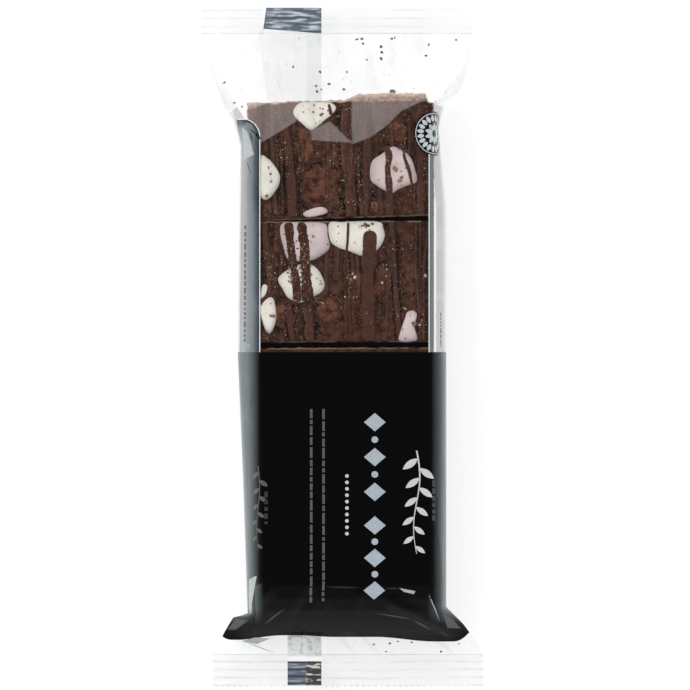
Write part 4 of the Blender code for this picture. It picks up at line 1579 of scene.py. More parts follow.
@dataclass
class CakeRow:
    """The four bars with their marshmallows."""

    contents: Contents
    finish: ChocolateFinish = field(default_factory=ChocolateFinish)
    wall_rows: int = 9
    foot: float = 0.75
    turns: int = 84
    rings: int = 16
    broken_end: Line = Line((
        (-34.0, -2.9), (-15.0, -2.6), (0.5, -2.0), (5.5, 0.1), (29.5, 0.5), (30.5, -2.6),
        (33.0, -2.9),
    ))
    cover_end: Line = Line((
        (-34.0, 84.6), (-28.5, 86.5), (-20.0, 87.1), (0.5, 87.3), (6.0, 87.6), (33.0, 87.9),
    ))

    def bar(self, place: BarPlace, material: Material) -> Object:
        """Builds one bar: its covered top, its crumbly walls and its foot.

        Args:
            place: Where the bar lies.
            material: The chocolate's finish.

        Returns:
            The bar.
        """
        form, cake = self.contents.form, self.contents
        columns = round((place.right - place.left) / place.step) + 1
        rows = round((place.end - place.start) / place.step) + 1
        s, t = np.meshgrid(np.linspace(0, 1, columns), np.linspace(0, 1, rows))
        x = place.left + (place.right - place.left) * s
        rough = cake.grains[2]
        start = place.start + place.start_slant * x + 0.12 * rough.at(x, x * 0 + place.start, 1.3)
        end = place.end + place.end_slant * x + 0.14 * rough.at(x, x * 0 + place.end, 1.1)
        cut_line = end + 9
        if place.broken:
            end = end + self.broken_end.at(x) + 0.25 * rough.at(x, x * 0, 2.4)
            cut_line = self.cover_end.at(x)
        x = x + np.where(s < 0.5, 1, -1) * 0.18 * rough.at(x * 0 + s, start + t * 40, 1.4)
        y = start + (end - start) * t
        cover = cake.cover(x, y)
        margin = np.minimum(np.minimum(y - start, end - y), np.minimum(s, 1 - s) * 67)
        bared = np.clip((y - cut_line - 0.45 * rough.at(x, y, 1.6)) / 0.4, 0, 1)
        edge = np.clip(1 - margin / 0.4, 0, 1)
        fall = 0.75 * np.clip(1 - margin / 0.8, 0, 1) ** 2
        crags = 0.3 * rough.at(x, y, 0.9) + 0.4 * cake.grains[1].at(x, y, 2.0)
        sunk = bared * (0.25 + (y - cut_line) * 0.3 - crags)
        height = cover["height"] * (1 - bared) - fall - sunk
        z = cake.capped(x, y, cake.level + height, cake.film_gap)
        ragged = 0.85 * edge * (rough.at(x, y, 2.4, 0.8) > -0.35)
        cut = np.clip(np.maximum(bared, ragged), 0, 1)
        whole = (1 - bared) * (1 - edge)
        masks = {
            "biscuit": cover["biscuit"], "strand": cover["strand"] * whole,
            "groove": cover["groove"] * whole, "crumbly": cover["crumbly"] * (1 - bared),
            "painted_glint": cover["painted_glint"] * whole,
            "cut": cut, "wall": np.zeros_like(cut),
            "rind": np.maximum(bared * np.clip(1.2 - (end - y) / 1.3, 0, 1), edge * (1 - bared)),
        }
        places = np.stack((x, y, z), -1).reshape(-1, 3)
        faces = grid_faces(rows, columns)
        rim = rim_of(rows, columns)
        ring, count = places[rim], len(rim)
        values = {key: mask.ravel() for key, mask in masks.items()}
        walls, wall_values = [], {key: [] for key in values}
        middle = ring[:, :2].mean(0)
        for row in range(1, self.wall_rows + 1):
            share = row / self.wall_rows
            down = ring[:, 2] + (self.foot - ring[:, 2]) * share
            out = 0.35 * rough.at(ring[:, 0] + ring[:, 1], down, 1.5) + 0.25 * math.sin(3.1 * share)
            away = ring[:, :2] - middle
            away = away / np.maximum(np.abs(away).max(1, keepdims=True), 1e-6)
            at = ring[:, :2] + away * out[:, None]
            held = form.hold(at[:, 0], at[:, 1], down, cake.film_gap)
            walls.append(np.column_stack((held, at[:, 1], down)))
            for key in values:
                wall_values[key].append(np.full(count, 1.0 if key == "wall" else 0.0))
        total = np.concatenate((places, *walls))
        above = rim.tolist()
        for row in range(self.wall_rows):
            first = len(places) + row * count
            below = list(range(first, first + count))
            for i in range(count):
                faces.append((above[i - count + 1], above[i], below[i], below[i - count + 1]))
            above = below
        faces.append(above[::-1])
        joined = {key: np.concatenate((values[key], *wall_values[key])) for key in values}
        return mesh_object(place.name, total, faces, material, joined)

    def marshmallow(self, piece: Marshmallow, material: Material) -> Object:
        """Builds one marshmallow: a soft face with a round rim that sinks into the chocolate.

        Args:
            piece: Its outline and rise.
            material: Its finish.

        Returns:
            The marshmallow.
        """
        cake = self.contents
        turns, rings = self.turns, self.rings
        angles = np.linspace(-math.pi, math.pi, turns, endpoint=False)
        reach = np.interp(angles, *piece.polar)
        shares = 1.03 * np.sin(np.linspace(0.06, 1.0, rings) * math.pi / 2)
        share, angle = np.meshgrid(shares, angles, indexing="ij")
        x = piece.middle[0] + share * reach * np.cos(angle)
        y = piece.middle[1] + share * reach * np.sin(angle)
        soft = 0.10 * cake.grains[0].at(x, y, 4.0) + 0.04 * cake.grains[2].at(x, y, 1.2)
        z = cake.level + piece.crown(share) + soft
        z = cake.capped(x, y, z, cake.film_gap - 0.08)
        centre = np.array([[*piece.middle, float(z[0].mean())]])
        foot = np.stack((x[-1], y[-1], z[-1] - 2.0), -1)
        places = np.concatenate((centre, np.stack((x, y, z), -1).reshape(-1, 3), foot))
        faces = [(0, 1 + i, 1 + (i + 1) % turns) for i in range(turns)]
        faces += [(a, d, c, b) for a, b, c, d in grid_faces(rings + 1, turns, True, 1)]
        last = 1 + rings * turns
        faces.append([last + i for i in range(turns)][::-1])
        # painted shade: the rim mask darkens each marshmallow towards its edge, further in on the
        # side turned from a light at 125 degrees
        light_from = np.cos(angle - math.radians(125))
        lean = np.clip(share - 0.62 + 0.16 * np.clip(-light_from, 0, 1), 0, 1) / 0.45
        rim = np.clip(lean, 0, 1).ravel() ** 2
        values = {"rim": np.concatenate(([0.0], rim, np.ones(turns)))}
        return mesh_object(piece.name, places, faces, material, values)

    def build(self) -> Pieces:
        """Builds every bar and marshmallow.

        Returns:
            The pieces, each with its slot.
        """
        chocolate = self.finish.material()
        made = [(self.bar(place, chocolate), Slot.CHOCOLATE) for place in self.contents.bars]
        looks = {
            Slot.WHITE: MarshmallowFinish(Slot.WHITE, (0.82, 0.79, 0.72), (0.71, 0.685, 0.62)),
            Slot.PINK: MarshmallowFinish(Slot.PINK, (0.70, 0.585, 0.585), (0.57, 0.465, 0.47)),
        }
        materials = {slot: look.material() for slot, look in looks.items()}
        for piece in self.contents.marshmallows:
            made.append((self.marshmallow(piece, materials[piece.slot]), piece.slot))
        return made


@dataclass
class Drizzle:
    """The thick strands that lie over the marshmallows, swept by a geometry tree."""

    contents: Contents
    material: Material
    crumbly: bool = False
    flatness: float = 0.24
    step: float = 0.3

    def curve(self) -> Object:
        """One open line for each strand, laid on what is under it.

        Returns:
            The lines, as one curve object.
        """
        cake = self.contents
        data = bpy.data.curves.new("drizzle_lines", "CURVE")
        data.dimensions = "3D"
        for strand in cake.over_strands:
            if (strand.crumbly > 0.6) != self.crumbly:
                continue
            points = np.array(sorted(((p[1], p[0]) for p in strand.path)), float)
            ys = np.arange(points[0, 0], points[-1, 0], self.step)
            smooth = np.interp(ys, points[:, 0], points[:, 1])
            smooth = smooth + 0.25 * cake.grains[1].at(ys * 0 + points[0, 1] * 5, ys, 5.0)
            z = cake.surface(smooth, ys)
            z = np.convolve(np.pad(z, 4, mode="edge"), np.ones(9) / 9, mode="valid")
            thick = strand.half_width * self.flatness
            z = np.minimum(z + 0.12, cake.form.top(smooth, ys) - 0.08 - thick)
            line = data.splines.new("POLY")
            line.points.add(len(ys) - 1)
            for i, point in enumerate(line.points):
                to_end = min(i + 0.5, len(ys) - i - 0.5) * self.step / strand.half_width
                taper = math.sqrt(1 - (1 - min(1.0, to_end)) ** 2)
                uneven = 1 + 0.22 * float(cake.grains[1].at(points[0, 1] * 3, ys[i], 3.0))
                point.co = (smooth[i] * MM, ys[i] * MM, z[i] * MM, 1.0)
                point.radius = strand.half_width * taper * uneven
        return in_scene("drizzle_lines", data)

    def tree(self) -> bpy.types.NodeTree:
        """The geometry tree: sweeps a low round section along each line and roughens it.

        Returns:
            The tree.
        """
        sheet, entry = new_group("Drizzle sweep", "GeometryNodeTree", (
            "Geometry/Geometry/INPUT", "Flatness/Float/INPUT", "Roughness/Float/INPUT",
            "Finish/Material/INPUT", "Geometry/Geometry/OUTPUT"))
        wanted = {"Curve": entry["Geometry"]}
        upright = sheet.read("GeometryNodeSetCurveNormal", 0, wanted, mode="Z_UP")
        wanted = {"Resolution": 14, "Radius": MM}
        circle = sheet.read("GeometryNodeCurvePrimitiveCircle", "Curve", wanted)
        scale = sheet.read("ShaderNodeCombineXYZ", 0, {0: 1.0, 1: entry["Flatness"], 2: 1.0})
        low = sheet.read("GeometryNodeTransform", 0, {"Geometry": circle, "Scale": scale})
        radius = sheet.read("GeometryNodeInputNamedAttribute", "Attribute", {"Name": "radius"})
        swept = sheet.read("GeometryNodeCurveToMesh", 0, {
            "Curve": upright, "Profile Curve": low, "Scale": radius, "Fill Caps": True})
        moved = sheet.roughened(swept, 900.0, 2.0, entry["Roughness"])
        smooth = sheet.read("GeometryNodeSetShadeSmooth", 0, {"Geometry": moved})
        return sheet.close(smooth, entry["Finish"])

    def build(self) -> Object:
        """Builds the strands as one plain mesh.

        Returns:
            The strands.
        """
        holder = self.curve()
        rough = 0.0007 if self.crumbly else 0.00018
        name = "drizzle_crumbly" if self.crumbly else "drizzle_smooth"
        values = {"Flatness": self.flatness, "Roughness": rough, "Finish": self.material}
        made = realized(holder, self.tree(), values, name)
        count = len(made.data.vertices)
        strand, crumbly = (0.35, 1.0) if self.crumbly else (0.9, 0.1)
        masks = {"strand": strand, "crumbly": crumbly, "biscuit": 0.12}
        keep_numbers(made.data, {key: np.full(count, number) for key, number in masks.items()})
        return made


def realized(
    holder: Object, tree: bpy.types.NodeTree, values: dict[str, object], name: str
) -> Object:
    """Runs a geometry tree on an object and keeps its result as a plain mesh.

    Args:
        holder: The object that the tree starts from; it is removed.
        tree: The geometry tree.
        values: The tree's inputs, by name.
        name: The new object's name.

    Returns:
        The new object.
    """
    modifier = holder.modifiers.new("Maker", "NODES")
    modifier.node_group = tree
    for item in tree.interface.items_tree:
        if item.item_type == "SOCKET" and item.in_out == "INPUT" and item.name in values:
            modifier[item.identifier] = values[item.name]
    depsgraph = bpy.context.evaluated_depsgraph_get()
    mesh = bpy.data.meshes.new_from_object(holder.evaluated_get(depsgraph))
    mesh.name = name
    bpy.data.objects.remove(holder)
    return in_scene(name, mesh)


@dataclass
class Crumbs:
    """Crumbs of one kind, set at given points by a geometry tree."""

    name: str
    points: Array
    sizes: Array
    material: Material
    seed: int
    detail: int = 1

    def tree(self) -> bpy.types.NodeTree:
        """The geometry tree: a rough pebble at each point, turned and sized at random.

        Returns:
            The tree.
        """
        sheet, entry = new_group(f"{self.name} scatter", "GeometryNodeTree", (
            "Geometry/Geometry/INPUT", "Seed/Int/INPUT", "Unevenness/Float/INPUT",
            "Finish/Material/INPUT", "Geometry/Geometry/OUTPUT"))
        wanted = {"Radius": MM, "Subdivisions": self.detail}
        pebble = sheet.read("GeometryNodeMeshIcoSphere", "Mesh", wanted)
        turn, uneven = (
            sheet.read("FunctionNodeRandomValue", 0, {0: low, 1: high, "Seed": entry["Seed"]},
                       data_type="FLOAT_VECTOR")
            for low, high in (((0.0, 0.0, 0.0), (6.28, 6.28, 6.28)),
                              ((0.6, 0.6, 0.5), (1.3, 1.2, 0.9))))
        size = sheet.read("GeometryNodeInputNamedAttribute", "Attribute", {"Name": "size"})
        scale = sheet.read(
            "ShaderNodeVectorMath", 0, {0: uneven, "Scale": size}, operation="SCALE")
        placed = sheet.read("GeometryNodeInstanceOnPoints", 0, {
            "Points": entry["Geometry"], "Instance": pebble, "Rotation": turn, "Scale": scale})
        real = sheet.read("GeometryNodeRealizeInstances", 0, {"Geometry": placed})
        moved = sheet.roughened(real, 1500.0, 1.0, entry["Unevenness"])
        return sheet.close(moved, entry["Finish"])

    def build(self) -> Object:
        """Builds the crumbs as one plain mesh.

        Returns:
            The crumbs.
        """
        mesh = bpy.data.meshes.new(f"{self.name}_points")
        mesh.from_pydata((self.points * MM).tolist(), [], [])
        keep_numbers(mesh, {"size": self.sizes})
        holder = in_scene(f"{self.name}_points", mesh)
        unevenness = 0.9 * float(self.sizes.mean()) * MM
        values = {"Seed": self.seed, "Unevenness": unevenness, "Finish": self.material}
        return realized(holder, self.tree(), values, self.name)


@dataclass
class CrumbSet:
    """Where the crumbs lie: specks over the bars, and loose ones in the clear ends."""

    contents: Contents
    seed: int = 77
    spread_across: Pair = (-28.5, 30.5)
    spread_along: Pair = (1.8, 87.0)
    gap: Pair = (44.4, 47.8)
    large: tuple[tuple[float, float, float], ...] = (
        (0.2, 59.4, 0.62), (29.7, 25.2, 0.85), (16.0, 27.4, 0.5), (0.9, 17.6, 0.42),
        (22.5, 13.3, 0.45), (5.2, 17.6, 0.35), (14.2, 22.7, 0.45), (15.7, 29.0, 0.4),
        (4.5, 24.6, 0.7), (3.6, 25.8, 0.5), (-20.5, 73.0, 0.3), (-4.4, 66.5, 0.4),
        (27.6, 7.6, 0.5), (28.4, 9.2, 0.4), (-15.9, 27.9, 0.6), (-14.6, 26.9, 0.5),
    )
    loose_top: tuple[tuple[float, float, float], ...] = (
        (-42.6, 95.0, 0.5), (-38.9, 87.8, 0.45), (-36.3, 86.4, 0.5), (-17.8, 100.8, 0.45),
        (-8.1, 99.0, 0.55), (-4.9, 94.7, 0.6), (-9.5, 94.0, 0.45), (-9.2, 92.0, 0.5),
        (-7.7, 92.7, 0.4), (0.5, 92.8, 0.4), (5.2, 110.6, 0.6), (7.0, 110.8, 0.5),
        (7.4, 109.1, 0.4), (13.9, 108.0, 0.6), (14.2, 106.0, 0.5), (13.9, 103.7, 0.6),
        (8.8, 103.3, 0.4), (17.8, 110.8, 0.5), (18.9, 111.2, 0.4), (31.1, 108.7, 0.5),
        (30.1, 104.8, 0.4), (41.0, 110.4, 0.4), (1.6, 99.0, 0.5), (18.1, 91.9, 1.1),
    )
    loose_bottom: tuple[tuple[float, float, float], ...] = (
        (11.3, -107.6, 0.4), (17.1, -107.3, 0.5), (20.0, -106.6, 0.4), (25.0, -106.9, 0.4),
        (15.7, -110.2, 0.35), (35.5, -110.2, 0.4), (42.0, -107.4, 0.35),
    )
    drifts: tuple[tuple[float, float, float, float, int], ...] = (
        (-19.9, 64.2, 0.5, 5.0, 34), (-21.4, 70.2, 0.5, 5.0, 26), (-15.5, 68.1, 0.5, 6.0, 26),
        (-14.5, 63.2, 1.2, 1.0, 14), (6.0, 63.5, 0.5, 8.0, 44), (7.3, 60.0, 0.7, 4.0, 20),
        (-3.1, 68.0, 0.4, 4.0, 14), (5.2, 51.5, 2.6, 1.4, 26), (-25.9, 47.6, 3.4, 1.2, 30),
        (-1.2, 49.3, 1.6, 0.9, 14), (29.4, 66.0, 0.4, 9.0, 26), (22.5, 73.0, 0.5, 3.0, 14),
        (0.8, 85.6, 2.0, 1.0, 14), (11.0, 52.0, 3.0, 3.0, 18), (25.0, 52.0, 3.0, 4.0, 18),
        (-26.9, 31.4, 1.8, 3.5, 50), (-21.9, 30.4, 1.0, 2.0, 22), (-24.4, 22.5, 1.2, 2.0, 24),
        (-25.9, 25.5, 1.2, 1.8, 18), (-14.5, 13.4, 1.9, 1.3, 46), (-9.1, 16.3, 1.8, 1.2, 40),
        (-10.5, 29.4, 1.4, 0.7, 14), (-24.9, 3.2, 2.8, 1.4, 46), (3.8, 17.5, 1.4, 0.6, 14),
        (2.8, 21.5, 0.5, 4.0, 20), (1.8, 27.4, 0.5, 4.0, 16), (15.6, 27.4, 0.9, 3.0, 14),
        (20.6, 17.5, 1.3, 8.0, 40), (29.0, 5.4, 1.0, 4.0, 50), (27.6, 9.4, 0.9, 2.0, 20),
        (18.6, 33.3, 0.4, 6.0, 18), (23.0, 35.3, 2.0, 3.0, 16), (8.8, 43.0, 1.8, 0.6, 12),
        (-18.0, 30.0, 1.0, 7.5, 70), (-13.8, 29.0, 1.4, 8.0, 90), (-14.0, 17.6, 2.6, 1.6, 50),
        (16.7, 62.0, 0.7, 6.0, 22),
    )
    stains: tuple[tuple[float, float, float], ...] = (
        (-14.0, 83.9, 0.40), (-10.6, 83.9, 0.34), (-7.8, 82.9, 0.60), (-7.2, 83.3, 0.45),
        (-7.1, 85.1, 0.32), (-10.3, 86.3, 0.34), (-12.0, 84.7, 0.24), (-5.2, 84.4, 0.4),
        (-9.2, 85.0, 0.22), (18.6, 63.9, 0.85), (19.2, 63.2, 0.6), (21.1, 60.4, 0.75),
        (20.4, 59.3, 0.7), (16.0, 66.4, 0.5), (-25.8, 61.7, 0.45), (-25.6, 59.0, 0.36),
        (-27.2, 53.8, 0.5), (-26.6, 64.2, 0.24), (-10.6, 39.3, 0.42), (-11.3, 25.6, 0.34),
        (-7.9, 23.4, 0.22), (-9.2, 24.2, 0.2), (-24.9, 10.8, 0.6), (-25.8, 10.9, 0.42),
        (25.9, 7.8, 0.7), (25.2, 8.3, 0.4), (10.7, 43.9, 0.5), (8.0, 43.6, 0.55),
    )

    def laid(self, x: Array, y: Array, sizes: Array) -> Array:
        """Points for crumbs that lie on what is highest there, under the film.

        Args:
            x: Places across.
            y: Places along.
            sizes: How large the crumbs are.

        Returns:
            The points, one a row.
        """
        cake = self.contents
        z = cake.surface(x, y) + sizes * 0.25
        film = cake.form.top(x, y)
        for strand in cake.over_strands:
            on_strand = strand.offset(x, y, cake.grains[1]) < 1.1
            z = np.where(on_strand, film - 0.10, z)
        z = np.minimum(z, film - 0.03 - sizes * 0.5)
        return np.stack((x, y, z), 1)

    def on_bars(self, draw: np.random.Generator, count: int, low: float, high: float) -> tuple:
        """Points and sizes of specks spread thinly over the bars that show.

        Args:
            draw: Where the random numbers come from.
            count: How many to try.
            low: The least size.
            high: The greatest size.

        Returns:
            Points and sizes.
        """
        x = draw.uniform(*self.spread_across, count)
        y = draw.uniform(*self.spread_along, count)
        keep = (y < self.gap[0]) | (y > self.gap[1])
        x, y = x[keep], y[keep]
        sizes = low + (high - low) * draw.random(len(x)) ** 2.2
        return self.laid(x, y, sizes), sizes

    def in_drifts(self, draw: np.random.Generator, times: float, low: float, high: float) -> tuple:
        """Points and sizes of specks gathered in the drifts.

        Args:
            draw: Where the random numbers come from.
            times: Share of each drift's own count.
            low: The least size.
            high: The greatest size.

        Returns:
            Points and sizes.
        """
        x, y = [], []
        for middle_x, middle_y, reach_x, reach_y, count in self.drifts:
            many = round(count * times)
            x.append(draw.normal(middle_x, reach_x * 0.6, many))
            y.append(middle_y + draw.uniform(-1, 1, many) * reach_y)
        x, y = np.concatenate(x), np.clip(np.concatenate(y), 1.8, 87.5)
        sizes = low + (high - low) * draw.random(len(x)) ** 1.8
        return self.laid(x, y, sizes), sizes

    def loose_ends(self, draw: np.random.Generator, few: int = 60) -> tuple:
        """Points and sizes of the crumbs that lie in the pack's clear ends.

        Args:
            draw: Where the random numbers come from.
            few: How many to add at random.

        Returns:
            Points and sizes.
        """
        form = self.contents.form
        loose = np.array(self.loose_top + self.loose_bottom)
        x = np.concatenate((loose[:, 0], draw.uniform(-38, 36, few)))
        y = np.concatenate((loose[:, 1], draw.uniform(93, 111, few)))
        sizes = np.concatenate((loose[:, 2] * 1.05, draw.uniform(0.1, 0.2, few)))
        floor = form.under(x, y) + 0.15 + sizes * 0.8
        floor = np.minimum(floor, form.over(x, y) - 0.15 - sizes * 0.7)
        return np.stack((x, y, floor), 1), sizes

    def build(self) -> Pieces:
        """Builds the kinds of crumb.

        Returns:
            The pieces, each with its slot.
        """
        draw = np.random.default_rng(self.seed)
        pale = CrumbFinish("crumb_pale", (0.24, 0.15, 0.10), (0.66, 0.55, 0.45)).material()
        tan = CrumbFinish("crumb_tan", (0.26, 0.12, 0.055), (0.62, 0.42, 0.27)).material()
        dark = CrumbFinish("crumb_dark", (0.030, 0.014, 0.010), (0.12, 0.055, 0.036)).material()
        stain = CrumbFinish("crumb_stain", (0.15, 0.07, 0.045), (0.30, 0.16, 0.10)).material()
        spots = np.array(self.large)
        marks = np.array(self.stains) * (1.0, 1.0, 1.35)
        on_stains = self.laid(marks[:, 0], marks[:, 1], marks[:, 2]) - (0.0, 0.0, 0.05)
        kinds = (
            Crumbs("crumb_dust", *self.on_bars(draw, 420, 0.08, 0.22), pale, 3),
            Crumbs("crumb_chips", *self.on_bars(draw, 420, 0.12, 0.34), dark, 4),
            Crumbs("crumb_drift_pale", *self.in_drifts(draw, 0.5, 0.08, 0.26), pale, 7),
            Crumbs("crumb_drift_tan", *self.in_drifts(draw, 0.3, 0.12, 0.38), tan, 8),
            Crumbs("crumb_drift_dark", *self.in_drifts(draw, 1.5, 0.16, 0.50), dark, 9),
            Crumbs("crumb_large", self.laid(*spots.T), spots[:, 2], pale, 5, 3),
            Crumbs("crumb_stains", on_stains, marks[:, 2], stain, 10, 3),
            Crumbs("crumb_loose", *self.loose_ends(draw), dark, 6, 3),
        )
        return [(kind.build(), Slot.CHOCOLATE) for kind in kinds]


@dataclass
class Film:
    """The film tube, its two end seals and the flap of its back seam."""

    form: PackForm
    teeth: int = 44
    tooth: float = 0.3
    overlap: float = 0.3
    seal_rows: int = 27
    wave: float = 0.16
    wave_pitch: float = 1.7
    slack: float = 0.25
    slack_reach: float = 22.0
    slack_seed: int = 9
    half_seal: float = 0.09
    flap_right: float = -7.6
    flap_thickness: float = 0.16
    flap_rows: int = 200
    flap_columns: int = 16
    upper_from: float = 14.0

    @cached_property
    def rows(self) -> Array:
        """Places along the pack for the tube's rings, closer where the edges of the painted glare
        show.

        Returns:
            The places, from the clear end down.
        """
        form = self.form
        start, stop = form.top_seal[0], form.bottom_seal[0]
        fine_start, fine_stop = 92.0, 71.0
        return np.concatenate((
            np.arange(start, fine_start, -form.row_step),
            np.arange(fine_start, fine_stop, -form.row_step / 2),
            np.linspace(fine_stop, stop, round((fine_stop - stop) / form.row_step) + 1),
        ))

    @cached_property
    def rings(self) -> list[tuple[Array, Array, Array]]:
        """The film's turns at those places."""
        return [self.form.ring(float(y)) for y in self.rows]

    def on_film(self, across: Array, along: Array, proud: float) -> Array:
        """Points just outside the film, found on the unrolled film.

        Args:
            across: Distances round the film from the top's middle, below 0 to the left.
            along: Places along the pack.
            proud: How far outside the film the points stand.

        Returns:
            The points, one a row.
        """
        made = []
        for u, v in zip(across, along):
            after = int(np.clip(np.searchsorted(-self.rows, -v), 1, len(self.rows) - 1))
            share = (self.rows[after - 1] - v) / (self.rows[after - 1] - self.rows[after])
            ends = [self.form.place(self.rings[i], u, proud) for i in (after - 1, after)]
            x, z = ends[0] * (1 - share) + ends[1] * share
            made.append((x, v, z))
        return np.array(made)

    def bloom_and_painted_glare(self, x: Array, y: Array, top: Array) -> Array:
        """How much painted glare the film has: 1 in the facets that stand clear of the cake's end,
        where a pale veil stands in for the light they reflect.

        Args:
            x: Places across.
            y: Places along.
            top: 1 on the film's upper half and 0 below it.

        Returns:
            Shares from 0 to 1.
        """
        outlines = (
            ((-29.2, 72.9), (-16.7, 80.4), (-14.6, 84.2), (-15.6, 86.8), (-18.5, 91.5),
             (-36.0, 91.5), (-36.0, 81.0)),
            ((-11.0, 73.8), (-11.6, 77.2), (-4.5, 80.6), (0.9, 75.2), (4.1, 72.6), (0.9, 73.1)),
            ((3.6, 72.4), (10.2, 74.9), (16.0, 79.2), (21.0, 84.2), (29.7, 88.4), (31.5, 91.5),
             (3.2, 91.5)),
        )
        inside = np.zeros_like(x)
        for outline in outlines:
            inside = np.maximum(inside, soft_inside(outline, x, y, 0.3))
        return inside * top

    def tube(self, material: Material) -> Object:
        """Builds the tube, with a map of the unrolled film in metres.

        Args:
            material: Its finish.

        Returns:
            The tube.
        """
        rows, rings = self.rows, self.rings
        columns = len(rings[0][0]) - 1
        places = np.array([
            np.stack((x[:-1], np.full(columns, y), z[:-1]), 1)
            for y, (x, z, _) in zip(rows, rings)
        ]).reshape(-1, 3)
        faces = [face[::-1] for face in grid_faces(len(rows), columns, closed=True)]
        upper = (places[:, 2] > self.upper_from).astype(float)
        values = {"bloom_and_painted_glare": self.bloom_and_painted_glare(places[:, 0], places[:, 1], upper)}
        made = mesh_object("film_tube", places, faces, material, values)
        along = np.array([a for _, _, a in rings])
        low, high = along[:, :-1].copy(), along[:, 1:]
        turn = columns - self.form.side_points
        low[:, turn] = high[:, turn] - 0.5
        u = np.stack((low[1:], high[1:], high[:-1], low[:-1]), -1)
        v = np.stack((rows[1:], rows[1:], rows[:-1], rows[:-1]), -1)[:, None]
        flat = np.stack(np.broadcast_arrays(u, v), -1).astype(np.float32)
        made.data.uv_layers.new(name="Unrolled").data.foreach_set("uv", (flat * MM).ravel())
        return made

    def seal(
        self, name: str, span: Pair, centre: float, slant: float, material: Material
    ) -> Object:
        """Builds one end seal: pressed lines across it, and an outer edge cut in teeth.

        Args:
            name: The seal's name.
            span: Where it starts and ends along the pack.
            centre: Its middle across the pack.
            slant: How much its edge leans.
            material: Its finish.

        Returns:
            The seal, a thin closed strip.
        """
        outward = math.copysign(1.0, span[1] - span[0])
        profile = np.array([-1.0, 0.0, 1.0, 0.0]) * self.tooth
        columns = self.teeth * len(profile) + 1
        half_width = self.form.seal_half_width
        x = np.linspace(centre - half_width, centre + half_width, columns)
        tooth = profile[np.arange(columns) % len(profile)]
        end = span[1] + slant * (x - centre) + outward * tooth
        start = span[0] - outward * self.overlap
        y = start + np.outer(np.linspace(0, 1, self.seal_rows), end - start)
        depth = np.abs(y - span[0])
        waves = self.wave * np.sin(depth * 2 * math.pi / self.wave_pitch)
        drift = self.slack * Grain(self.slack_seed).at(y * 0 + x, y * 0, self.slack_reach)
        z = self.form.seal_height + waves + drift * np.clip(depth / 4, 0, 1)
        upper, lower = (
            np.stack((np.broadcast_to(x, y.shape), y, z + side * self.half_seal), -1)
            for side in (1, -1))
        return closed_strip(name, upper, lower, material, outward < 0)

    def flap(self, material: Material) -> Object:
        """Builds the back seam's flap, a thin closed strip under the back.

        Args:
            material: Its finish.

        Returns:
            The flap.
        """
        form = self.form
        left = Line(((form.bottom_seal[0], -19.8), (60.0, -21.5), (88.0, -27.0),
                     (form.top_seal[0], -30.5), (form.top_seal[0] + 1.2, -28.6),
                     (form.top_seal[1], -27.5)))
        rows = np.linspace(form.bottom_seal[1] + 0.3, form.top_seal[1] - 0.2, self.flap_rows)
        share = np.linspace(0, 1, self.flap_columns)
        x = left.at(rows)[:, None] * (1 - share) + self.flap_right * share
        y = np.broadcast_to(rows[:, None], x.shape)
        base = form.base.at(np.clip(rows, form.bottom_seal[0], form.top_seal[0]))[:, None]
        upper = np.stack((x, y, np.broadcast_to(base - 0.12, x.shape)), -1)
        return closed_strip("seam_flap", upper, upper - (0.0, 0.0, self.flap_thickness), material)

    def build(self) -> Pieces:
        """Builds the tube, both seals and the flap.

        Returns:
            The pieces, each with its slot.
        """
        pressed = SealFinish().material()
        form = self.form
        made = [
            self.tube(FilmFinish().material()),
            self.seal("top_seal", form.top_seal, form.top_centre, -0.011, pressed),
            self.seal("bottom_seal", form.bottom_seal, form.bottom_centre, 0.0, pressed),
            self.flap(FlapFinish().material()),
        ]
        return [(piece, Slot.FILM) for piece in made]


class Ink(Enum):
    """The inks of the marks; some of them are the folded film's painted sheen and shade."""

    PALE = (0.60, 0.60, 0.58)
    BLUE = (0.40, 0.45, 0.50)
    GREY = (0.105, 0.105, 0.105)
    DIM = (0.045, 0.045, 0.045)
    DARK = (0.05, 0.055, 0.06)
    BLACK = (0.006, 0.006, 0.007)
    SILVER = (0.50, 0.54, 0.56)
    PAINTED_SHEEN = (0.40, 0.43, 0.44)
    PAINTED_SHADE = (0.15, 0.17, 0.18)
    PAINTED_CREASE_SHEEN = (0.022, 0.022, 0.024)
    PAINTED_EAR_SHEEN = (0.05, 0.056, 0.06)


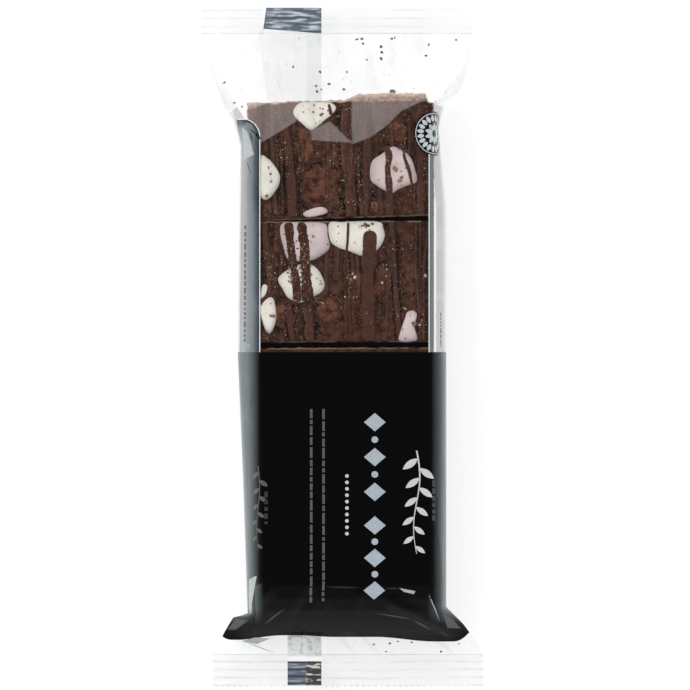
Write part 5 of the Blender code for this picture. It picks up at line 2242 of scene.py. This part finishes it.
@dataclass
class PrintMarks:
    """The sleeve's marks: rows of simple shapes, leafy sprigs and a round rosette, and the folded
    film's painted sheen and shade.
    """

    film: Film
    seed: int = 13
    proud: float = 0.04
    step: float = 0.6
    badge_middle: Pair = (33.6, 76.2)
    badge_reach: float = 7.9

    def __post_init__(self) -> None:
        """Starts with no shapes."""
        self.parts: dict[Ink, list[tuple[Array, list]]] = {ink: [] for ink in Ink}

    def sheet(self, ink: Ink, grid_u: Array, grid_v: Array, layer: int = 0) -> None:
        """Adds a patch of ink that follows the film.

        Args:
            ink: Its ink.
            grid_u: Distances round the film, one row for each line of the patch.
            grid_v: Places along the pack, in the same way.
            layer: How many inks lie under it.
        """
        rows, columns = grid_u.shape
        points = self.film.on_film(grid_u.ravel(), grid_v.ravel(), self.proud * (1 + layer))
        self.parts[ink].append((points, grid_faces(rows, columns)))

    def block(self, ink: Ink, middle: Pair, size: Pair) -> None:
        """Adds a rectangle, as wide round the film and as long along it as the size says.

        Args:
            ink: Its ink.
            middle: Its middle on the unrolled film.
            size: Its width and length.
        """
        counts = [max(2, math.ceil(length / self.step) + 1) for length in size]
        u = middle[0] + np.linspace(-size[0] / 2, size[0] / 2, counts[0])
        v = middle[1] + np.linspace(-size[1] / 2, size[1] / 2, counts[1])
        self.sheet(ink, *np.meshgrid(u, v))

    def lozenge(self, ink: Ink, middle: Pair, size: Pair, power: float) -> None:
        """Adds a diamond where the power is 1, and a rounder or squarer shape above that.

        Args:
            ink: Its ink.
            middle: Its middle on the unrolled film.
            size: Its width and length.
            power: How square it is.
        """
        share = np.linspace(-1, 1, 13)
        half = (1 - np.abs(share) ** power) ** (1 / power)
        across = np.linspace(-1, 1, 9)
        u = middle[0] + size[0] / 2 * half[:, None] * across
        v = middle[1] + size[1] / 2 * share[:, None] + 0 * across
        self.sheet(ink, u, v)

    def dashes(self, ink: Ink, across: float, start: float, stop: float, size: Pair,
               draw: np.random.Generator) -> None:
        """Adds a line of dashes of uneven length.

        Args:
            ink: Their ink.
            across: Distance round the film.
            start: Where the line starts, along the pack.
            stop: Where it ends, below the start.
            size: Their width, and their greatest length.
            draw: Where the random lengths come from.
        """
        at = start
        while at > stop:
            length = min(size[1] * draw.uniform(0.3, 1.0), at - stop)
            if length > size[0] / 2:
                self.block(ink, (across, at - length / 2), (size[0], length))
            at -= length + size[0] * draw.uniform(0.5, 0.9)

    def leaf(self, ink: Ink, root: Pair, turn: float, size: Pair) -> None:
        """Adds one pointed leaf that grows from its root at an angle to the pack's length.

        Args:
            ink: Its ink.
            root: Where it starts on the unrolled film.
            turn: Its angle, in radians.
            size: Its width and length.
        """
        share = np.linspace(0, 1, 11)
        half = size[0] / 2 * np.sin(math.pi * share) ** 0.9
        across = np.linspace(-1, 1, 5)
        side, out = half[:, None] * across, size[1] * share[:, None] + 0 * across
        u = root[0] + side * math.cos(turn) + out * math.sin(turn)
        v = root[1] + side * math.sin(turn) - out * math.cos(turn)
        self.sheet(ink, u[:, ::-1], v[:, ::-1])

    def sprig(self, ink: Ink, across: float, start: float, stop: float, size: Pair,
              pairs: int) -> None:
        """Adds a leafy sprig along the pack: a thin curved stem with a leaf to each side in turn.

        Args:
            ink: Its ink.
            across: Distance round the film of its middle line.
            start: Where it starts, along the pack.
            stop: Where its tip is, below the start.
            size: A leaf's width and length.
            pairs: How many leaves grow to each side.
        """
        t = np.linspace(0, 1, 60)
        stem_u = across + 0.16 * size[1] * np.sin(2 * math.pi * t)
        stem_v = start + (stop - start) * t
        half = 0.07 * size[0] * (1.6 - t)
        sides = np.array([-1.0, 1.0])
        self.sheet(ink, stem_u[:, None] - half[:, None] * sides,
                   np.broadcast_to(stem_v[:, None], (60, 2)))
        for i in range(2 * pairs):
            share = (i + 0.8) / (2 * pairs + 0.6)
            root = (float(np.interp(share, t, stem_u)), float(np.interp(share, t, stem_v)))
            side = 1 if i % 2 else -1
            small = 1 - 0.4 * share
            self.leaf(ink, root, side * 0.95, (size[0] * small, size[1] * small))

    def ring(self, ink: Ink, inner: float, outer: float, layer: int, scallops: float = 0.0) -> None:
        """Adds a ring of the badge, or a disc where the inner reach is 0.

        Args:
            ink: Its ink.
            inner: Its inner reach.
            outer: Its outer reach.
            layer: How many inks lie under it.
            scallops: How deep its edge is cut, as a share of the reach.
        """
        angles = np.linspace(0, -2 * math.pi, 97)
        reach = np.linspace(inner, outer, max(2, round((outer - inner) / self.step) + 1))
        edge = 1 + scallops * np.cos(angles * 32)[:, None] * (reach / outer) ** 8
        u = self.badge_middle[0] + np.cos(angles)[:, None] * reach * edge
        v = self.badge_middle[1] + np.sin(angles)[:, None] * reach * edge
        self.sheet(ink, u, v, layer)

    def badge(self) -> None:
        """Adds the round rosette: a dark scalloped disc, a pale ring and a ring of petals."""
        reach = self.badge_reach
        self.ring(Ink.BLACK, 0.0, reach, 0, 0.018)
        self.ring(Ink.SILVER, reach * 0.90, reach * 0.94, 1)
        for count, inner, outer, wide in ((20, 0.56, 0.86, 1.5), (10, 0.16, 0.50, 1.6)):
            for i in range(count):
                angle = (i + 0.5) * 2 * math.pi / count
                share = np.linspace(0, 1, 7)[:, None]
                along = (inner + (outer - inner) * share) * reach
                half = wide / 2 * np.sin(math.pi * (0.12 + 0.82 * share))
                sides = half * np.array([1.0, 0.0, -1.0])
                u = self.badge_middle[0] + math.cos(angle) * along - math.sin(angle) * sides
                v = self.badge_middle[1] + math.sin(angle) * along + math.cos(angle) * sides
                self.sheet(Ink.SILVER, u[:, ::-1], v[:, ::-1], 1)

    def facet(self, ink: Ink, corners: Sequence[Pair]) -> None:
        """Adds a four-cornered facet of crumpled film in one flat ink that paints its sheen and
        shade, its corners anticlockwise.

        Args:
            ink: Its ink.
            corners: Its corners on the unrolled film.
        """
        a, b, c, d = np.array(corners, float)
        s, t = np.meshgrid(np.linspace(0, 1, 9), np.linspace(0, 1, 15))
        s, t = s[..., None], t[..., None]
        at = (a * (1 - s) + b * s) * (1 - t) + (d * (1 - s) + c * s) * t
        self.sheet(ink, at[..., 0], at[..., 1])

    def creases(self) -> None:
        """Adds painted light and shade where the film is folded: painted crease shadows, painted
        sheen along creases, and facets of painted sheen and shade.
        """
        # painted shade: the black and dark leaves are crease shadows; the lighter leaves are
        # painted sheen along creases
        for ink, root, turn, size in (
            (Ink.BLACK, (-33.6, 78.0), 0.95, (0.7, 5.2)),
            (Ink.BLACK, (-33.5, 76.8), 0.28, (0.6, 3.8)),
            (Ink.BLACK, (-31.4, 76.2), 0.75, (0.9, 3.0)),
            (Ink.DARK, (-35.8, 66.6), 0.5, (0.4, 6.0)),
            (Ink.PAINTED_CREASE_SHEEN, (15.8, -86.9), 1.55, (0.5, 4.6)),
            (Ink.PAINTED_CREASE_SHEEN, (-6.0, -86.4), 1.55, (0.5, 13.0)),
            (Ink.PAINTED_CREASE_SHEEN, (12.1, -95.9), 1.40, (0.5, 13.5)),
            (Ink.PAINTED_CREASE_SHEEN, (25.4, -98.3), 1.05, (0.5, 8.0)),
            (Ink.PAINTED_SHEEN, (31.2, -89.0), 0.42, (0.4, 11.0)),
            (Ink.PAINTED_CREASE_SHEEN, (-20.5, -94.0), -0.9, (0.6, 10.0)),
            (Ink.PAINTED_SHEEN, (-35.8, -106.4), 1.21, (0.35, 12.5)),
        ):
            self.leaf(ink, root, turn, size)
        # painted sheen and painted shade facets of the crumpled film
        for ink, *corners in (
            (Ink.PAINTED_SHEEN, (-38.2, 66.5), (-31.9, 68.6), (-34.6, 76.9), (-37.2, 78.6)),
            (Ink.PAINTED_SHADE, (-34.4, 77.2), (-30.9, 75.9), (-32.6, 79.6), (-35.4, 80.5)),
            (Ink.PAINTED_EAR_SHEEN, (-43.4, -102.2), (-39.8, -102.2), (-34.6, -98.6), (-41.0, -98.2)),
            (Ink.PAINTED_EAR_SHEEN, (38.6, -101.4), (45.0, -101.8), (42.0, -98.0), (37.6, -96.2)),
            (Ink.PAINTED_SHEEN, (-36.6, -106.4), (-31.0, -107.5), (-26.0, -105.4), (-31.5, -105.0)),
            (Ink.PAINTED_SHEEN, (22.3, -88.2), (25.9, -89.0), (26.3, -87.9), (20.4, -86.8)),
            (Ink.PAINTED_SHEEN, (-37.2, -96.4), (-34.9, -96.0), (-31.0, -82.4), (-36.6, -84.0)),
        ):
            self.facet(ink, corners)

    def title(self) -> None:
        """Adds two rows of diamonds and dots."""
        for start, stop, count in ((-24.2, -55.4, 5), (-61.4, -90.6, 5)):
            pitch = (stop - start) / count
            for i in range(count):
                middle = (11.6, start + pitch * (i + 0.5))
                if i % 2:
                    self.lozenge(Ink.BLUE, middle, (2.4, 2.4), 2.0)
                else:
                    self.lozenge(Ink.BLUE, middle, (7.8, 6.6), 1.0)

    def build(self) -> Pieces:
        """Adds every mark and makes one piece for each ink.

        Returns:
            The pieces, each with its slot.
        """
        draw = np.random.default_rng(self.seed)
        self.title()
        self.sprig(Ink.PALE, 26.6, -37.5, -74.5, (2.6, 7.0), 5)
        self.sprig(Ink.GREY, -30.4, -43.0, -73.5, (1.8, 4.0), 5)
        for v in np.arange(-46.6, -67.6, -2.3):
            self.lozenge(Ink.PALE, (1.6, float(v)), (1.3, 1.3), 2.0)
        for ink, across, start, stop, size in (
            (Ink.GREY, -6.8, -22.6, -91.5, (0.9, 4.0)), (Ink.GREY, -11.2, -22.6, -92.0, (0.9, 4.0)),
            (Ink.DIM, -27.4, -52.2, -63.8, (1.2, 2.4)), (Ink.DIM, 32.8, -48.2, -62.6, (1.2, 2.4)),
            (Ink.DARK, -36.4, 43.4, 0.6, (1.0, 2.2)), (Ink.DARK, 36.6, 12.0, 0.0, (0.7, 2.0)),
        ):
            self.dashes(ink, across, start, stop, size, draw)
        self.badge()
        self.creases()
        made = []
        for ink, parts in self.parts.items():
            places, faces, first = [], [], 0
            for points, own in parts:
                places.append(points)
                faces += [tuple(first + i for i in face) for face in own]
                first += len(points)
            name = f"marks_{ink.name.lower()}"
            finish = MarkFinish(name, ink.value).material()
            made.append((mesh_object(name, np.concatenate(places), faces, finish), Slot.FILM))
        return made


@dataclass
class Studio:
    """The glowing pale floor, the soft surroundings and lights, and the camera."""

    camera_height: float = 3.0
    view_width: float = 248.4
    sensor: float = 36.0
    aim: Pair = (0.9, 0.36)
    plane: float = 14.0

    def floor(self) -> None:
        """Lays a pale, softly glowing floor under the pack."""
        material = Finish("floor").dressed({
            "Base Color": (0.34, 0.34, 0.34, 1.0), "Roughness": 0.9, "Specular IOR Level": 0.1,
            "Emission Color": (1.0, 1.0, 1.0, 1.0), "Emission Strength": 0.74})
        half, under = 1500.0, -0.02
        corners = ((-half, -half), (half, -half), (half, half), (-half, half))
        places = np.array([(*corner, under) for corner in corners])
        mesh_object("floor", places, [(0, 1, 2, 3)], material)

    def light(self, name: str, place: Sequence[float], size: Pair, power: float) -> None:
        """Hangs one soft light that faces the pack and leaves no shape in its gloss.

        Args:
            name: Its name.
            place: Where it hangs, in metres.
            size: Its width and length.
            power: Its power, in watts.
        """
        data = bpy.data.lights.new(name, "AREA")
        data.shape = "RECTANGLE"
        data.size, data.size_y = size
        data.energy = power
        made = in_scene(name, data)
        made.location = place
        made.rotation_euler = (-Vector(place)).to_track_quat("-Z", "Y").to_euler()
        made.visible_glossy = False

    def surroundings(self) -> bpy.types.World:
        """A room that is dark overhead and bright all round near the floor.

        Returns:
            The world.
        """
        world = bpy.data.worlds.new("surround")
        world.use_nodes = True
        sheet = NodeSheet(world.node_tree)
        height = sheet.split(sheet.read("ShaderNodeTexCoord", "Generated"))[2]
        room = sheet.ramp(height, (
            (0.0, (1.0, 1.0, 1.0)), (0.30, (0.95, 0.96, 0.97)), (0.62, (0.50, 0.51, 0.52)),
            (0.86, (0.22, 0.225, 0.23)), (0.96, (0.04, 0.04, 0.042)), (1.0, (0.02, 0.02, 0.02))))
        sheet.join(world.node_tree.nodes["Background"], {"Color": room, "Strength": 1.25})
        return world

    def build(self) -> None:
        """Sets the floor, lights, surroundings, camera and the view's colours."""
        self.floor()
        self.light("left_box", (-1.3, 0.5, 1.6), (0.8, 0.8), 20.0)
        self.light("right_box", (1.5, -0.2, 1.5), (1.0, 1.2), 9.0)
        self.light("end_box", (-0.3, 1.2, 1.6), (1.0, 0.6), 8.0)
        scene = bpy.context.scene
        scene.world = self.surroundings()
        data = bpy.data.cameras.new("camera")
        data.sensor_width = self.sensor
        distance = self.camera_height - self.plane * MM
        data.lens = self.sensor * distance / (self.view_width * MM)
        data.clip_end = 20.0
        camera = in_scene("camera", data)
        camera.location = (self.aim[0] * MM, self.aim[1] * MM, self.camera_height)
        scene.camera = camera
        scene.view_settings.view_transform = "Standard"


def main() -> None:
    """Builds the pack's pieces in order and puts them in the solid's place."""
    logging.basicConfig(level=logging.INFO, format="%(message)s")
    form = PackForm()
    contents = Contents(form)
    row = CakeRow(contents)
    pieces = row.build()
    chocolate = pieces[0][0].data.materials[0]
    pieces.append((Drizzle(contents, chocolate).build(), Slot.CHOCOLATE))
    pieces.append((Drizzle(contents, chocolate, True).build(), Slot.CHOCOLATE))
    pieces += CrumbSet(contents).build()
    film = Film(form)
    pieces += film.build() + PrintMarks(film).build()
    for piece, slot in pieces:
        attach(piece, BODY)
        LOG.info("%s: %d faces", piece.name, len(piece.data.polygons))
    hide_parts(NODE)
    Studio().build()


if __name__ == "__main__":
    main()
